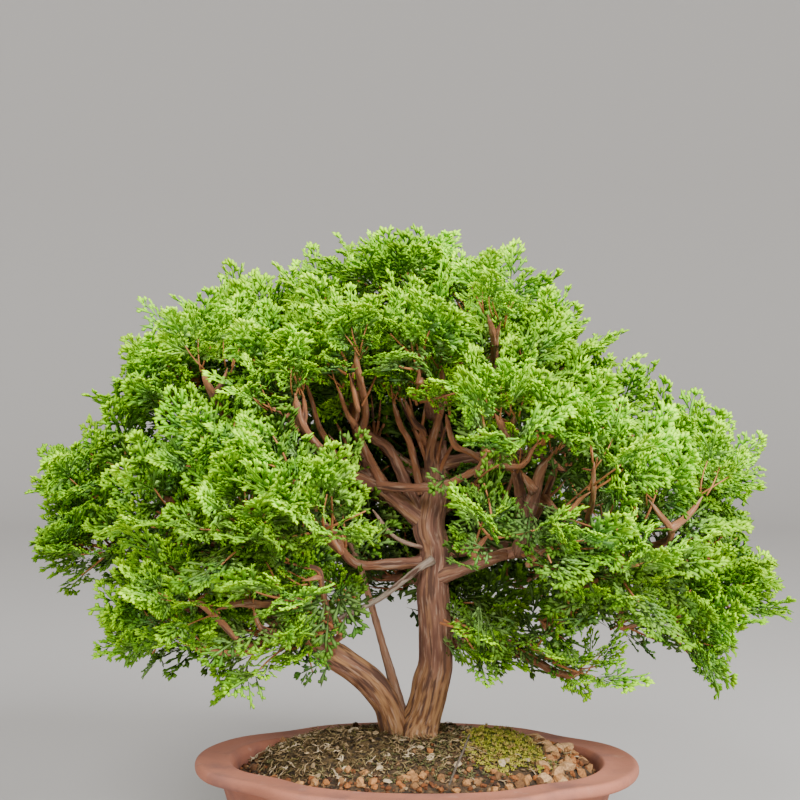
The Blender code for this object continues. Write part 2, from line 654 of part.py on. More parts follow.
def make_tree(collection):
    """The wood, then a spray on the end of every twig."""
    spots = [Vector(spot) for spot in SPRAYS]
    axes = [outward(spot) for spot in spots]
    twigs = [twig_route(spot, axis) for spot, axis in zip(spots, axes)]
    trunk = make_wood(collection, twigs)
    crown = Crown()
    crown.add("trunk", tree_of(trunk))
    leaf = make_material("foliage", (0.11, 0.24, 0.035), 0.6)
    sprays = []
    cores = {}
    for number, (spot, axis) in enumerate(zip(spots, axes), 1):
        name = f"spray_{number:02d}"
        cores[name] = make_core(name, spot, axis, collection, leaf)
        crown.add(name + "_core", tree_of(cores[name]))
        count = FRONDS_IN_FRONT if spot.y < FRONT_Y else FRONDS_ELSEWHERE
        sprays.append((name, spot, axis, count))
    placed = place_fronds(crown, sprays)
    for name, shapes in placed.items():
        blades = []
        for shape in shapes:
            blades.append(make_object("frond", frond_bmesh(*shape, FROND_THICKNESS), collection))
        boolean(cores[name], "UNION", blades, "MANIFOLD")
        keep_main_body(cores[name])


def main():
    clear_scene()
    bonsai = bpy.data.collections.new("hinoki_bonsai")
    bpy.context.scene.collection.children.link(bonsai)
    make_pot(bonsai)
    make_screens(bonsai)
    soil = make_soil(bonsai)
    make_moss(bonsai, soil)
    scatter_grains(bonsai, soil)
    make_tree(bonsai)


main()
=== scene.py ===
"""Looks of a hinoki cypress bonsai in a lobed clay pot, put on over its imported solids.

Metres, +Z up, front of the tree towards -Y. Sizes of clay, soil and wood are written in millimetres.
"""

import json
import math
import random
from contextlib import contextmanager
from functools import partial

import bmesh
import bpy
import numpy as np
from mathutils import Matrix, Vector, noise

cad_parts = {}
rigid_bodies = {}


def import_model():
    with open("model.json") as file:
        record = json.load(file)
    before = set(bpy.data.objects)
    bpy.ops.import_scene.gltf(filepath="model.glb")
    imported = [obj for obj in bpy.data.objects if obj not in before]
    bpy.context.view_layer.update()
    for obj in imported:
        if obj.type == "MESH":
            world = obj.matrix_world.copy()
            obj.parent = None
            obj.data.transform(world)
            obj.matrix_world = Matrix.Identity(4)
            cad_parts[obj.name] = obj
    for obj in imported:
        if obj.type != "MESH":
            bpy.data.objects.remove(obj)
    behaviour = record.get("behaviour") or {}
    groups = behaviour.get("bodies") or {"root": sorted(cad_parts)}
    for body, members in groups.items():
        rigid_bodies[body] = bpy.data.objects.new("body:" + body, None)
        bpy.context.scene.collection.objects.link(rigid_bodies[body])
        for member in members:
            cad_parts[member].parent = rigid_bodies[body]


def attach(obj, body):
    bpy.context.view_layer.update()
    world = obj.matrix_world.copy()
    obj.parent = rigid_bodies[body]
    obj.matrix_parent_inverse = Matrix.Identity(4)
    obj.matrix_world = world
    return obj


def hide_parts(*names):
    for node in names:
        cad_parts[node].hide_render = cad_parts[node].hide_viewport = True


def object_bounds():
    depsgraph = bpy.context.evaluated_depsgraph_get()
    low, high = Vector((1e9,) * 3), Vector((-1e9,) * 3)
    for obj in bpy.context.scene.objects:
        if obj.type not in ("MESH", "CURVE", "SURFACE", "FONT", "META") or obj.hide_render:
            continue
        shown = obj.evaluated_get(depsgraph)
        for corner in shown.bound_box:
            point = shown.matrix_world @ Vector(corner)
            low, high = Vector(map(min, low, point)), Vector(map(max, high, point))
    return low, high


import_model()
solid_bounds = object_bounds()
MM = 0.001
TURN = 2 * math.pi
UP = Vector((0, 0, 1))


# The pot: one piece of red clay, pressed as a four-lobed oval with a wide flat lip and four low feet,
# and fired without a glaze. Its lip is smoothed by hand, and its clay has fine grit in it.
POT_X = 4.0
POT_HALF_WIDTH = 145.0
POT_HALF_DEPTH = 113.0
POT_TURN = math.radians(-5)
POT_SIDES = 136
NOTCH_SHARE = 0.055
NOTCH_SHARPNESS = 6
FLOOR_UNDER = 10.0
FLOOR_TOP = 18.0
DRAIN_X = 52.0
DRAIN_RADIUS = 8.0
HAND_WAVE = 0.35
LIP_FROM = 60.0
# Corners (inset, height, rounding) from under the floor up the wall, over the lip and down inside.
POT_PROFILE = (
    (37, FLOOR_UNDER, 0), (32, 14, 3), (18, 62, 6), (15, 69.2, 4), (2, 69.8, 2), (0, 72, 2), (0, 76, 2),
    (2, 78, 2), (13, 76.8, 8), (22.5, 77.8, 1.5), (25.5, 74, 2), (25.5, 66, 4), (39, FLOOR_TOP, 0),
)
FOOT_SECTION = ((41, 0), (54, 0), (54, 12), (39.6, 12))
FOOT_START = 26.0
FOOT_SPAN = 38.0
FOOT_STEPS = 12
FOOT_BEVEL = 1.4
CLAY = (0.39, 0.142, 0.085)
# Smoke stains, lime and grit: colour, then scale, middle, softness and detail of its noise, and its strength.
CLAY_SPOTS = (
    ((0.25, 0.105, 0.08), 38, 0.62, 0.16, 6, 1.0),
    ((0.55, 0.36, 0.29), 95, 0.7, 0.1, 8, 0.35),
    ((0.2, 0.075, 0.055), 1500, 0.68, 0.06, 1, 0.5),
)


def wire(tree, kind, inputs=None, **settings):
    """Adds a node, sets its properties, and gives its inputs values or links them to other nodes."""
    made = tree.nodes.new(kind)
    for name, value in settings.items():
        setattr(made, name, value)
    for key, value in (inputs or {}).items():
        if isinstance(value, bpy.types.NodeSocket):
            tree.links.new(value, made.inputs[key])
        else:
            made.inputs[key].default_value = value
    return made


def math_node(tree, operation, *values):
    return wire(tree, "ShaderNodeMath", dict(enumerate(values)), operation=operation).outputs[0]


def mapped(tree, value, low=0.0, high=1.0, start=0.0, end=1.0, **settings):
    """A value from between low and high, taken to between start and end."""
    inputs = {"Value": value, "From Min": low, "From Max": high, "To Min": start, "To Max": end}
    return wire(tree, "ShaderNodeMapRange", inputs, **settings).outputs["Result"]


def new_tree(name, kind, output, **inputs):
    """An empty node tree with one output, and inputs that are listed under their kinds; and its two ends."""
    tree = bpy.data.node_groups.new(name, kind)
    for socket, labels in inputs.items():
        for label in labels:
            tree.interface.new_socket(label, in_out="INPUT", socket_type="NodeSocket" + socket)
    tree.interface.new_socket(output, in_out="OUTPUT", socket_type="NodeSocket" + output)
    return tree, tree.nodes.new("NodeGroupInput").outputs, tree.nodes.new("NodeGroupOutput").inputs[0]


def mottle_tree():
    """Noise read at a place, stretched to a mask between 0 and 1: Width is how soft its edges are."""
    tree, given, result = new_tree(
        "mottle", "ShaderNodeTree", "Float", Vector=("Vector",), Float=("Scale", "Middle", "Width", "Detail"))
    grain = wire(tree, "ShaderNodeTexNoise", {label: given[label] for label in ("Vector", "Scale", "Detail")})
    low = math_node(tree, "SUBTRACT", given["Middle"], given["Width"])
    high = math_node(tree, "ADD", given["Middle"], given["Width"])
    tree.links.new(mapped(tree, grain.outputs["Fac"], low, high, interpolation_type="SMOOTHSTEP"), result)
    return tree


def relief_tree():
    """Two sizes of bump on one surface: coarse waves and fine grain."""
    sizes = ("Coarse", "Fine")
    tree, given, result = new_tree(
        "relief", "ShaderNodeTree", "Vector", Vector=("Vector",),
        Float=[label for size in sizes for label in (size, size + " depth")])
    normal = None
    for size in sizes:
        grain = {"Vector": given["Vector"], "Scale": given[size], "Detail": 4.0}
        height = wire(tree, "ShaderNodeTexNoise", grain).outputs["Fac"]
        bump = {"Height": height, "Distance": given[size + " depth"], "Strength": 1.0}
        if normal:
            bump["Normal"] = normal
        normal = wire(tree, "ShaderNodeBump", bump).outputs["Normal"]
    tree.links.new(normal, result)
    return tree


MOTTLE = mottle_tree()
RELIEF = relief_tree()


def new_material(name, roughness):
    """A material with a Principled shader, and its tree, shader and Object coordinates."""
    material = bpy.data.materials.new(name)
    material.use_nodes = True
    tree = material.node_tree
    shader = tree.nodes["Principled BSDF"]
    shader.inputs["Roughness"].default_value = roughness
    place = tree.nodes.new("ShaderNodeTexCoord").outputs["Object"]
    return material, tree, shader, place


def shared(tree, group, place, values):
    """What a shared group gives at a place, with its other inputs set in their order."""
    made = wire(tree, "ShaderNodeGroup", node_tree=group)
    tree.links.new(place, made.inputs[0])
    for socket, value in zip(made.inputs[1:], values):
        socket.default_value = value
    return made.outputs[0]


def mask(tree, place, *mottle):
    return shared(tree, MOTTLE, place, mottle)


def blend_colours(tree, factor, first, second, kind="MIX"):
    """One colour over another: each is a socket or a linear red, green and blue."""
    inputs = {0: factor}
    for key, colour in ((6, first), (7, second)):
        inputs[key] = colour if isinstance(colour, bpy.types.NodeSocket) else (*colour, 1)
    return wire(tree, "ShaderNodeMix", inputs, data_type="RGBA", blend_type=kind).outputs[2]


def mottled(tree, place, below, above, *mottle, strength=1.0):
    """One colour over another in patches: mottle is their scale, middle, softness and detail."""
    share = math_node(tree, "MULTIPLY", mask(tree, place, *mottle), strength)
    return blend_colours(tree, share, below, above)


def dress(tree, shader, place, tone, *relief):
    """Gives a shader its colour and its relief: the scale and depth of the coarse and the fine bumps."""
    tree.links.new(tone, shader.inputs["Base Color"])
    tree.links.new(shared(tree, RELIEF, place, relief), shader.inputs["Normal"])


def placed(name, data):
    """A new object of the scene."""
    thing = bpy.data.objects.new(name, data)
    bpy.context.scene.collection.objects.link(thing)
    return thing


def mesh_object(name, points, faces, material=None):
    """A smooth mesh object from points in metres."""
    mesh = bpy.data.meshes.new(name)
    mesh.from_pydata(points, [], faces)
    mesh.update()
    mesh.shade_smooth()
    if material:
        mesh.materials.append(material)
    return placed(name, mesh)


def band(rings, sides, first=0, inward=False):
    """Faces between rings of points, which follow each other from the first point on, and over both ends."""
    faces = []
    last = first + (rings - 1) * sides
    for low in range(first, last, sides):
        for side in range(sides):
            here = low + side
            beside = low + (side + 1) % sides
            quad = (here, beside, beside + sides, here + sides)
            faces.append((here, *quad[:0:-1]) if inward else quad)
    start = tuple(range(first, first + sides))
    end = tuple(range(last, last + sides))
    return faces + ([start, end[::-1]] if inward else [start[::-1], end])


@contextmanager
def open_mesh(thing):
    """An object's mesh as a bmesh, which is written back when its changes are done."""
    bm = bmesh.new()
    bm.from_mesh(thing.data)
    yield bm
    bm.to_mesh(thing.data)
    bm.free()


def join(thing, others):
    """Takes the meshes of other objects into one object, and removes them."""
    with open_mesh(thing) as bm:
        for other in others:
            bm.from_mesh(other.data)
            bpy.data.objects.remove(other, do_unlink=True)


def applied(thing):
    """Works an object's modifiers into its mesh."""
    bpy.context.view_layer.update()
    graph = bpy.context.evaluated_depsgraph_get()
    mesh = bpy.data.meshes.new_from_object(
        thing.evaluated_get(graph), preserve_all_data_layers=True, depsgraph=graph)
    thing.modifiers.clear()
    thing.data = mesh
    return thing


def finish_piece(piece, slot, *nodes):
    """Puts a finished piece on the tree's one body, in place of the solids it stands for."""
    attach(piece, "root")
    if nodes:
        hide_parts(*nodes)


def in_pot(x, y, z):
    """A place in millimetres, given along the pot's own axes."""
    return Matrix.Rotation(POT_TURN, 3, "Z") @ Vector((x, y, z)) + Vector((POT_X, 0, 0))


def pot_place(angle, inset, height):
    """A point of the lobed oval in metres, drawn in by inset: four shallow notches part its lobes."""
    notch = ((1 + math.cos(4 * angle - math.pi)) / 2) ** NOTCH_SHARPNESS
    share = 1 - NOTCH_SHARE * notch
    x = (POT_HALF_WIDTH - inset) * share * math.cos(angle)
    y = (POT_HALF_DEPTH - inset) * share * math.sin(angle)
    return in_pot(x, y, height) * MM


def rounded(corners, steps=4):
    """A profile through (inset, height, radius) corners, each rounded off by a short arc."""
    points = [corners[0][:2]]
    for before, (inset, height, radius), after in zip(corners, corners[1:], corners[2:]):
        here = Vector((inset, height))
        ends = []
        for other in (before, after):
            way = Vector(other[:2]) - here
            ends.append(here + way.normalized() * min(radius, way.length * 0.48))
        for step in range(steps + 1):
            share = step / steps
            first = ends[0].lerp(here, share)
            points.append(tuple(first.lerp(here.lerp(ends[1], share), share)))
    points.append(corners[-1][:2])
    return points


def cut_drains(pot):
    """Cuts the two drain holes through the pot's floor."""
    drains = bpy.data.collections.new("drains")
    bpy.context.scene.collection.children.link(drains)
    for side in (-1, 1):
        bpy.ops.mesh.primitive_cylinder_add(vertices=32, radius=DRAIN_RADIUS * MM, depth=FLOOR_TOP * MM)
        drain = bpy.context.object
        drain.location = in_pot(side * DRAIN_X, 0, (FLOOR_UNDER + FLOOR_TOP) / 2) * MM
        drains.objects.link(drain)
    cut = pot.modifiers.new("drains", "BOOLEAN")
    cut.operation = "DIFFERENCE"
    cut.operand_type = "COLLECTION"
    cut.collection = drains
    applied(pot)
    for drain in list(drains.objects):
        bpy.data.objects.remove(drain, do_unlink=True)
    bpy.data.collections.remove(drains)


def make_foot(quarter):
    """One of four corner feet: a bevelled block that follows the oval, sunk into the pot's underside."""
    angles = [math.radians(FOOT_START + FOOT_SPAN * step / FOOT_STEPS) for step in range(FOOT_STEPS + 1)]
    if quarter % 2:
        angles = [math.pi - angle for angle in reversed(angles)]
    angles = [angle + math.pi * (quarter // 2) for angle in angles]
    points = [pot_place(angle, inset, height) for angle in angles for inset, height in FOOT_SECTION]
    foot = mesh_object("foot", points, band(len(angles), len(FOOT_SECTION)))
    with open_mesh(foot) as bm:
        bmesh.ops.recalc_face_normals(bm, faces=bm.faces)
        ends = [edge for edge in bm.edges if edge.calc_face_angle(0) > 0.9]
        bmesh.ops.bevel(bm, geom=ends, offset=FOOT_BEVEL * MM, segments=3, affect="EDGES")
    return foot


def clay_material():
    material, tree, shader, place = new_material("unglazed_clay", 0.78)
    tone = mottled(tree, place, CLAY, [1.16 * part for part in CLAY], 14, 0.5, 0.25, 3)
    for colour, *mottle, strength in CLAY_SPOTS:
        tone = mottled(tree, place, tone, colour, *mottle, strength=strength)
    dress(tree, shader, place, tone, 60, 0.0006, 1400, 0.00012)
    return material


def make_pot():
    profile = rounded(POT_PROFILE)
    points = []
    for inset, height in profile:
        for side in range(POT_SIDES):
            angle = TURN * side / POT_SIDES
            hand = HAND_WAVE * noise.noise(Vector((math.cos(angle) * 2, math.sin(angle) * 2, height / 30)))
            points.append(pot_place(angle, inset + hand, height + 0.6 * hand * (height > LIP_FROM)))
    pot = mesh_object("clay_pot", points, band(len(profile), POT_SIDES), clay_material())
    cut_drains(pot)
    join(pot, [make_foot(quarter) for quarter in range(4)])
    pot.data.shade_smooth()
    pot.data.set_sharp_from_angle(angle=math.radians(38))
    finish_piece(pot, "terracotta", "pot")


make_pot()


# The soil: bonsai mix of crushed lava and fired clay, mounded up to the trunk. Its base is one body, with
# loose grains of several sizes and colours lying in it, the largest at the right end.
SOIL_EDGE = 73.5
SOIL_RISE = 21.0
SOIL_RIPPLE = 1.3
SOIL_RINGS = 40
SOIL_WALL = 66.0
SOIL_FOOT = (39.95, 20.0)
MOUND_INSET = 25.0
RIM_INSET = 25.9
SHRUNK_BY = 6.0
FALLEN_BY = 7.0
ROOT_X = 6.0
FACING_UP = 0.2
BITS_ABOVE = 62
GREEN_MOSS = ((60, -8), (26, 33))
DRY_MOSS = ((-50, -16), (45, 41))
FRESH_GREEN = ((61, -32), (28, 30))
OLD_SPREAD = ((-32, -26), (74, 44))
LAVA = ((0.05, 0.018, 0.007), (0.2, 0.062, 0.014), (0.4, 0.14, 0.032), (0.54, 0.26, 0.09), (0.1, 0.04, 0.012))
CRUMBS = (LAVA[0], LAVA[4], LAVA[1], (0.34, 0.19, 0.08))
TAN = ((0.42, 0.17, 0.05), (0.5, 0.26, 0.1), (0.6, 0.36, 0.17))


def clamp(value, low=0.0, high=1.0):
    return min(high, max(low, value))


def share_of_rim(x, y, inset=RIM_INSET):
    """How far out a place lies between the middle of the mound and a line drawn in from the pot's edge."""
    local = Matrix.Rotation(-POT_TURN, 3, "Z") @ Vector((x - POT_X, y, 0))
    return math.hypot(local.x / (POT_HALF_WIDTH - inset), local.y / (POT_HALF_DEPTH - inset))


def soil_height(x, y):
    """Height of the mound in millimetres: shrunk from the lip at the back and right, and sunk at the left."""
    share = share_of_rim(x, y, MOUND_INSET)
    ripple = noise.noise(Vector((x / 17, y / 17, 3.1)))
    shrunk = clamp((share - 0.88) / 0.09) * clamp((x + 2 * y + 60) / 60)
    fallen = clamp((share - 0.78) / 0.18) * clamp((-x - 50) / 40)
    mound = SOIL_EDGE + SOIL_RISE * max(0, 1 - share**2) + SOIL_RIPPLE * ripple * (1 - share**6)
    return mound - SHRUNK_BY * shrunk - FALLEN_BY * fallen


def soil_material():
    material, tree, shader, place = new_material("soil_base", 0.95)
    tone = mottled(tree, place, (0.025, 0.014, 0.006), (0.075, 0.042, 0.018), 130, 0.5, 0.1, 6)
    tone = mottled(tree, place, tone, (0.15, 0.08, 0.03), 420, 0.6, 0.08, 2)
    dress(tree, shader, place, tone, 300, 0.002, 1300, 0.0006)
    return material


def make_soil():
    points = []
    centre = Vector((POT_X, 0, 0)) * MM
    angles = [TURN * side / POT_SIDES for side in range(POT_SIDES)]
    for ring in range(1, SOIL_RINGS + 1):
        for angle in angles:
            spot = centre.lerp(pot_place(angle, RIM_INSET, 0), 0.985 * ring / SOIL_RINGS)
            crumb = 0.9 * noise.noise(spot / MM / 3.1) + 0.5 * noise.noise(spot / MM / 1.3)
            height = soil_height(spot.x / MM, spot.y / MM) + crumb * min(1, (SOIL_RINGS - ring) / 3)
            points.append((spot.x, spot.y, height * MM))
    for inset, height in ((RIM_INSET + 0.2, SOIL_WALL), SOIL_FOOT):
        points += [pot_place(angle, inset, height) for angle in angles]
    soil = mesh_object("soil_base", points, band(SOIL_RINGS + 2, POT_SIDES, inward=True), soil_material())
    finish_piece(soil, "soil_mix", "soil")
    return soil


def vector_node(tree, operation, *values):
    made = wire(tree, "ShaderNodeVectorMath", dict(enumerate(values)), operation=operation)
    return made.outputs[1 if operation in ("DOT_PRODUCT", "LENGTH") else 0]


def scaled(tree, value, factor):
    return wire(tree, "ShaderNodeVectorMath", {0: value, 3: factor}, operation="SCALE").outputs[0]


def geometry(tree, kind, inputs, **settings):
    """The first output of a new geometry node."""
    return wire(tree, "GeometryNode" + kind, inputs, **settings).outputs[0]


def drawn(tree, kind, low, high, seed):
    """A random number or vector for each element."""
    row = ("FLOAT_VECTOR", "FLOAT", "INT").index(kind)
    inputs = {2 * row: low, 2 * row + 1: high, "Seed": seed}
    return wire(tree, "FunctionNodeRandomValue", inputs, data_type=kind).outputs[row]


def scatter_tree():
    """Node tree: copies of the given bits stand on a surface, thinned by its "here" attribute."""
    tree, given, result = new_tree(
        "scattered_bits", "GeometryNodeTree", "Geometry", Geometry=("Geometry",), Collection=("Bits",),
        Float=("Density", "Apart", "Smallest", "Largest", "Lean", "Sink"), Int=("Seed",),
        Material=("Material",))
    lean = given["Lean"]
    seed = given["Seed"]
    spots = wire(tree, "GeometryNodeDistributePointsOnFaces", {
        "Mesh": given["Geometry"], "Distance Min": given["Apart"], "Density Max": given["Density"],
        "Density Factor": geometry(tree, "InputNamedAttribute", {"Name": "here"}, data_type="FLOAT"),
        "Seed": seed}, distribute_method="POISSON").outputs
    sunk = geometry(tree, "SetPosition", {
        "Geometry": spots["Points"], "Offset": scaled(tree, spots["Normal"], given["Sink"])})
    less = math_node(tree, "MULTIPLY", lean, -1.0)
    low = wire(tree, "ShaderNodeCombineXYZ", {0: less, 1: less, 2: 0.0}).outputs[0]
    high = wire(tree, "ShaderNodeCombineXYZ", {0: lean, 1: lean, 2: TURN}).outputs[0]
    rotation = wire(tree, "FunctionNodeRotateRotation", {
        "Rotation": spots["Rotation"], "Rotate By": drawn(tree, "FLOAT_VECTOR", low, high, seed)},
        rotation_space="LOCAL").outputs[0]
    bits = geometry(tree, "CollectionInfo", {
        "Collection": given["Bits"], "Separate Children": True, "Reset Children": True})
    copies = geometry(tree, "InstanceOnPoints", {
        "Points": sunk, "Instance": bits, "Pick Instance": True,
        "Instance Index": drawn(tree, "INT", 0, 50, seed), "Rotation": rotation,
        "Scale": drawn(tree, "FLOAT", given["Smallest"], given["Largest"], seed)})
    tinted = geometry(tree, "StoreNamedAttribute", {
        "Geometry": copies, "Name": "tint", "Value": drawn(tree, "FLOAT", 0.0, 1.0, seed)},
        data_type="FLOAT", domain="INSTANCE")
    real = geometry(tree, "RealizeInstances", {"Geometry": tinted})
    tree.links.new(geometry(tree, "SetMaterial", {"Geometry": real, "Material": given["Material"]}), result)
    return tree


SCATTER = scatter_tree()


def run_tree(thing, tree, bits, **values):
    """Runs a node tree on an object, which becomes the plain mesh that comes out, and removes the bits."""
    shelf = bpy.data.collections.new("bits")
    bpy.context.scene.collection.children.link(shelf)
    for bit in bits:
        bpy.context.scene.collection.objects.unlink(bit)
        shelf.objects.link(bit)
    values["Bits"] = shelf
    maker = thing.modifiers.new("copies", "NODES")
    maker.node_group = tree
    for item in tree.interface.items_tree:
        label = item.name.replace(" ", "_")
        if item.in_out == "INPUT" and label in values:
            maker[item.identifier] = values[label]
    applied(thing)
    for bit in list(shelf.objects):
        bpy.data.objects.remove(bit, do_unlink=True)
    bpy.data.collections.remove(shelf)


def store(thing, name, kind, values):
    """Gives every point of a mesh a value of the given kind under a name."""
    layer = thing.data.attributes.new(name, kind, "POINT")
    layer.data.foreach_set("vector" if kind == "FLOAT_VECTOR" else "value", np.array(values, "f").ravel())


def scatter(name, ground, cover, bits, slot, **values):
    """One piece of bits on the upper faces of a ground. Its cover says how densely they lie at each place."""
    patch = placed(name, ground.data.copy())
    here = []
    for vert in patch.data.vertices:
        upper = vert.normal.z > FACING_UP and vert.co.z > BITS_ABOVE * MM
        here.append(cover(vert.co.x / MM, vert.co.y / MM) if upper else 0)
    store(patch, "here", "FLOAT", here)
    run_tree(patch, SCATTER, bits, **values)
    finish_piece(patch, slot)


def stone(name, seed, cuts, flat):
    """A rough grain about 1 m across with flat broken faces, scaled down where it is placed."""
    draw = random.Random(seed)
    breaks = [Vector((draw.gauss(0, 1), draw.gauss(0, 1), draw.gauss(0, 1))).normalized() for _ in range(8)]
    thing = placed(name, bpy.data.meshes.new(name))
    with open_mesh(thing) as bm:
        bmesh.ops.create_icosphere(bm, subdivisions=cuts, radius=0.5)
        for vert in bm.verts:
            lump = 1 + 0.6 * noise.noise(vert.co * 2.2 + Vector((seed * 7.3, 0, 0)))
            vert.co = Vector((vert.co.x * 1.2, vert.co.y * 0.85, vert.co.z)) * lump
            for way in breaks:
                vert.co -= way * max(0.0, vert.co.dot(way) - 0.33)
            vert.co.z *= flat
    return thing


def stones(name, seeds, cuts, flat):
    return [stone(name, seed, cuts, flat) for seed in seeds]


def attribute(tree, name, output="Fac"):
    made = wire(tree, "ShaderNodeAttribute", attribute_name=name, attribute_type="GEOMETRY")
    return made.outputs[output]


def colour_ramp(tree, factor, stops):
    """The colour that a ramp of (position, colour) stops gives for a factor."""
    made = wire(tree, "ShaderNodeValToRGB", {"Fac": factor})
    marks = made.color_ramp.elements
    while len(marks) < len(stops):
        marks.new(0.5)
    for mark, (at, colour) in zip(marks, stops):
        mark.position = at
        mark.color = (*colour, 1)
    return made.outputs["Color"]


def tinted_material(name, colours, roughness, depth=0.0004):
    """Each copy takes a colour along the given ramp by its own "tint", with mottling over it."""
    material, tree, shader, place = new_material(name, roughness)
    stops = [(number / (len(colours) - 1), colour) for number, colour in enumerate(colours)]
    tint = colour_ramp(tree, attribute(tree, "tint"), stops)
    tone = blend_colours(tree, mask(tree, place, 700, 0.5, 0.14, 4), tint, (0.62, 0.6, 0.58), "MULTIPLY")
    dress(tree, shader, place, tone, 500, depth, 1800, depth / 3)
    return material


def in_patch(x, y, patch):
    """How far out a place lies in an oval patch, given by its centre and half sizes: 1 on its edge."""
    centre, half = patch
    return math.hypot((x - centre[0]) / half[0], (y - centre[1]) / half[1])


def from_trunk(x, y):
    return math.hypot(x - ROOT_X, y)


def bare_ground(x, y):
    """Small grains lie everywhere but on the moss."""
    if in_patch(x, y, GREEN_MOSS) < 0.92 or in_patch(x, y, DRY_MOSS) < 0.85:
        return 0
    if in_patch(x, y, FRESH_GREEN) < 0.9:
        return 0.15
    return 0.35 if in_patch(x, y, OLD_SPREAD) < 0.9 else 1


def grain_edge(x, y):
    """Large grains gather along the front and right of the lip, and in the bare places between."""
    for patch, edge in ((GREEN_MOSS, 1.02), (DRY_MOSS, 1.0), (FRESH_GREEN, 0.95)):
        if in_patch(x, y, patch) < edge:
            return 0
    out = share_of_rim(x, y)
    if out > 0.955 or from_trunk(x, y) < 26:
        return 0
    near_lip = max(0.0, (out - 0.68) / 0.2)
    side = 1.0 if (y < -30 or x > 70) else 0.15
    return min(1.0, near_lip * side + 0.03)


def stony_end(x, y):
    """The largest grains have gathered at the right end."""
    return 1.0 if x > 78 and 0.72 < share_of_rim(x, y) < 0.93 and in_patch(x, y, GREEN_MOSS) > 1.05 else 0


soil_base = make_soil()
scatter("large_grains", soil_base, grain_edge, stones("grain", range(6), 2, 0.8), "soil_mix",
        Density=40000.0, Apart=0.0038, Smallest=0.0034, Largest=0.0078, Lean=0.7, Sink=0.0006, Seed=3,
        Material=tinted_material("lava_grains", LAVA, 0.9))
scatter("largest_grains", soil_base, stony_end, stones("lump", range(60, 64), 2, 0.75), "soil_mix",
        Density=20000.0, Apart=0.0085, Smallest=0.0075, Largest=0.0115, Lean=0.6, Sink=0.0012, Seed=4,
        Material=tinted_material("tan_grains", TAN, 0.9))
scatter("small_grains", soil_base, bare_ground, stones("crumb", range(20, 26), 1, 0.8), "soil_mix",
        Density=60000.0, Apart=0.003, Smallest=0.0022, Largest=0.0044, Lean=0.8, Sink=0.0002, Seed=5,
        Material=tinted_material("soil_crumbs", CRUMBS, 0.95))


# The moss: a fresh green cushion right of the trunk, and old olive and straw-coloured moss in front of it
# and to its left. Each is a low mat with tufts or strands standing out of it, and pale litter lies about.
MAT_RINGS = 30
MAT_SIDES = 72
MAT_SINKS = 3.0
GREEN_RISE = 5.5
DRY_RISE = 4.5
BROWN_PATCH = (70, -57)
LEAF_FACES = ((0, 3, 1), (0, 2, 3), (0, 1, 2), (4, 1, 3), (4, 3, 2), (4, 2, 1))
LUSH = ((0.2, 0.17, 0.012), (0.42, 0.46, 0.02), (0.66, 0.62, 0.06), (0.5, 0.3, 0.1))
CREEPING = ((0.045, 0.055, 0.01), (0.1, 0.12, 0.03), (0.17, 0.17, 0.05), (0.3, 0.24, 0.1))
STRAW = ((0.1, 0.06, 0.02), (0.2, 0.12, 0.04), (0.07, 0.05, 0.012), (0.44, 0.3, 0.14), (0.14, 0.12, 0.02))
PALE = ((0.2, 0.11, 0.045), (0.46, 0.32, 0.17), (0.66, 0.52, 0.33))


def mat_material(name, dark, light):
    material, tree, shader, place = new_material(name, 0.95)
    tone = mottled(tree, place, dark, light, 260, 0.5, 0.12, 5)
    dress(tree, shader, place, tone, 500, 0.0016, 1800, 0.0006)
    return material


def moss_mat(name, patch, thickness, colours, slot, node):
    """A low humped mat with a wavy edge, which follows the mound."""
    (middle_x, middle_y), (half_x, half_y) = patch
    points = []
    for ring in range(MAT_RINGS + 1):
        share = ring / MAT_RINGS
        for side in range(MAT_SIDES):
            angle = TURN * side / MAT_SIDES
            flat = Vector((math.cos(angle), math.sin(angle)))
            edge = 1 + 0.16 * noise.noise(Vector((flat.x * 1.7, flat.y * 1.7, middle_x)))
            x = middle_x + half_x * flat.x * edge * share
            y = middle_y + half_y * flat.y * edge * share
            broad = 0.5 * noise.noise(Vector((x / 9, y / 9, 0)))
            hump = 1 + broad + 0.35 * noise.noise(Vector((x / 3, y / 3, 4)))
            rise = thickness * hump * math.sqrt(max(0, 1 - share**2))
            points.append(Vector((x, y, soil_height(x, y) + rise - 1.2 * share**4)) * MM)
    points += [rim - UP * MAT_SINKS * MM for rim in points[-MAT_SIDES:]]
    faces = band(MAT_RINGS + 2, MAT_SIDES, inward=True)
    mat = mesh_object(name, points, faces, mat_material(name, *colours))
    finish_piece(mat, slot, node)
    return mat


def outward_mesh(name, points, faces):
    """A mesh object with its faces turned outward."""
    thing = mesh_object(name, points, faces)
    with open_mesh(thing) as bm:
        bmesh.ops.recalc_face_normals(bm, faces=bm.faces)
    return thing


def tuft(name, seed, leaves, spread, height):
    """A star of slim pointed moss leaves about 1 m across, scaled down where it is placed."""
    draw = random.Random(seed)
    points = []
    faces = []
    for leaf in range(leaves):
        angle = TURN * (leaf + draw.uniform(-0.3, 0.3)) / leaves
        out = Vector((math.cos(angle), math.sin(angle), 0))
        side = Vector((-out.y, out.x, 0)) * 0.12
        middle = out * spread * draw.uniform(0.3, 0.5) + UP * height * draw.uniform(0.5, 0.7)
        tip = out * spread * draw.uniform(0.7, 1.2) + UP * height * draw.uniform(0.8, 1.1)
        faces += [[len(points) + corner for corner in face] for face in LEAF_FACES]
        points += [out * 0.05, middle + side, middle - side, middle - out * 0.1, tip]
    return outward_mesh(name, points, faces)


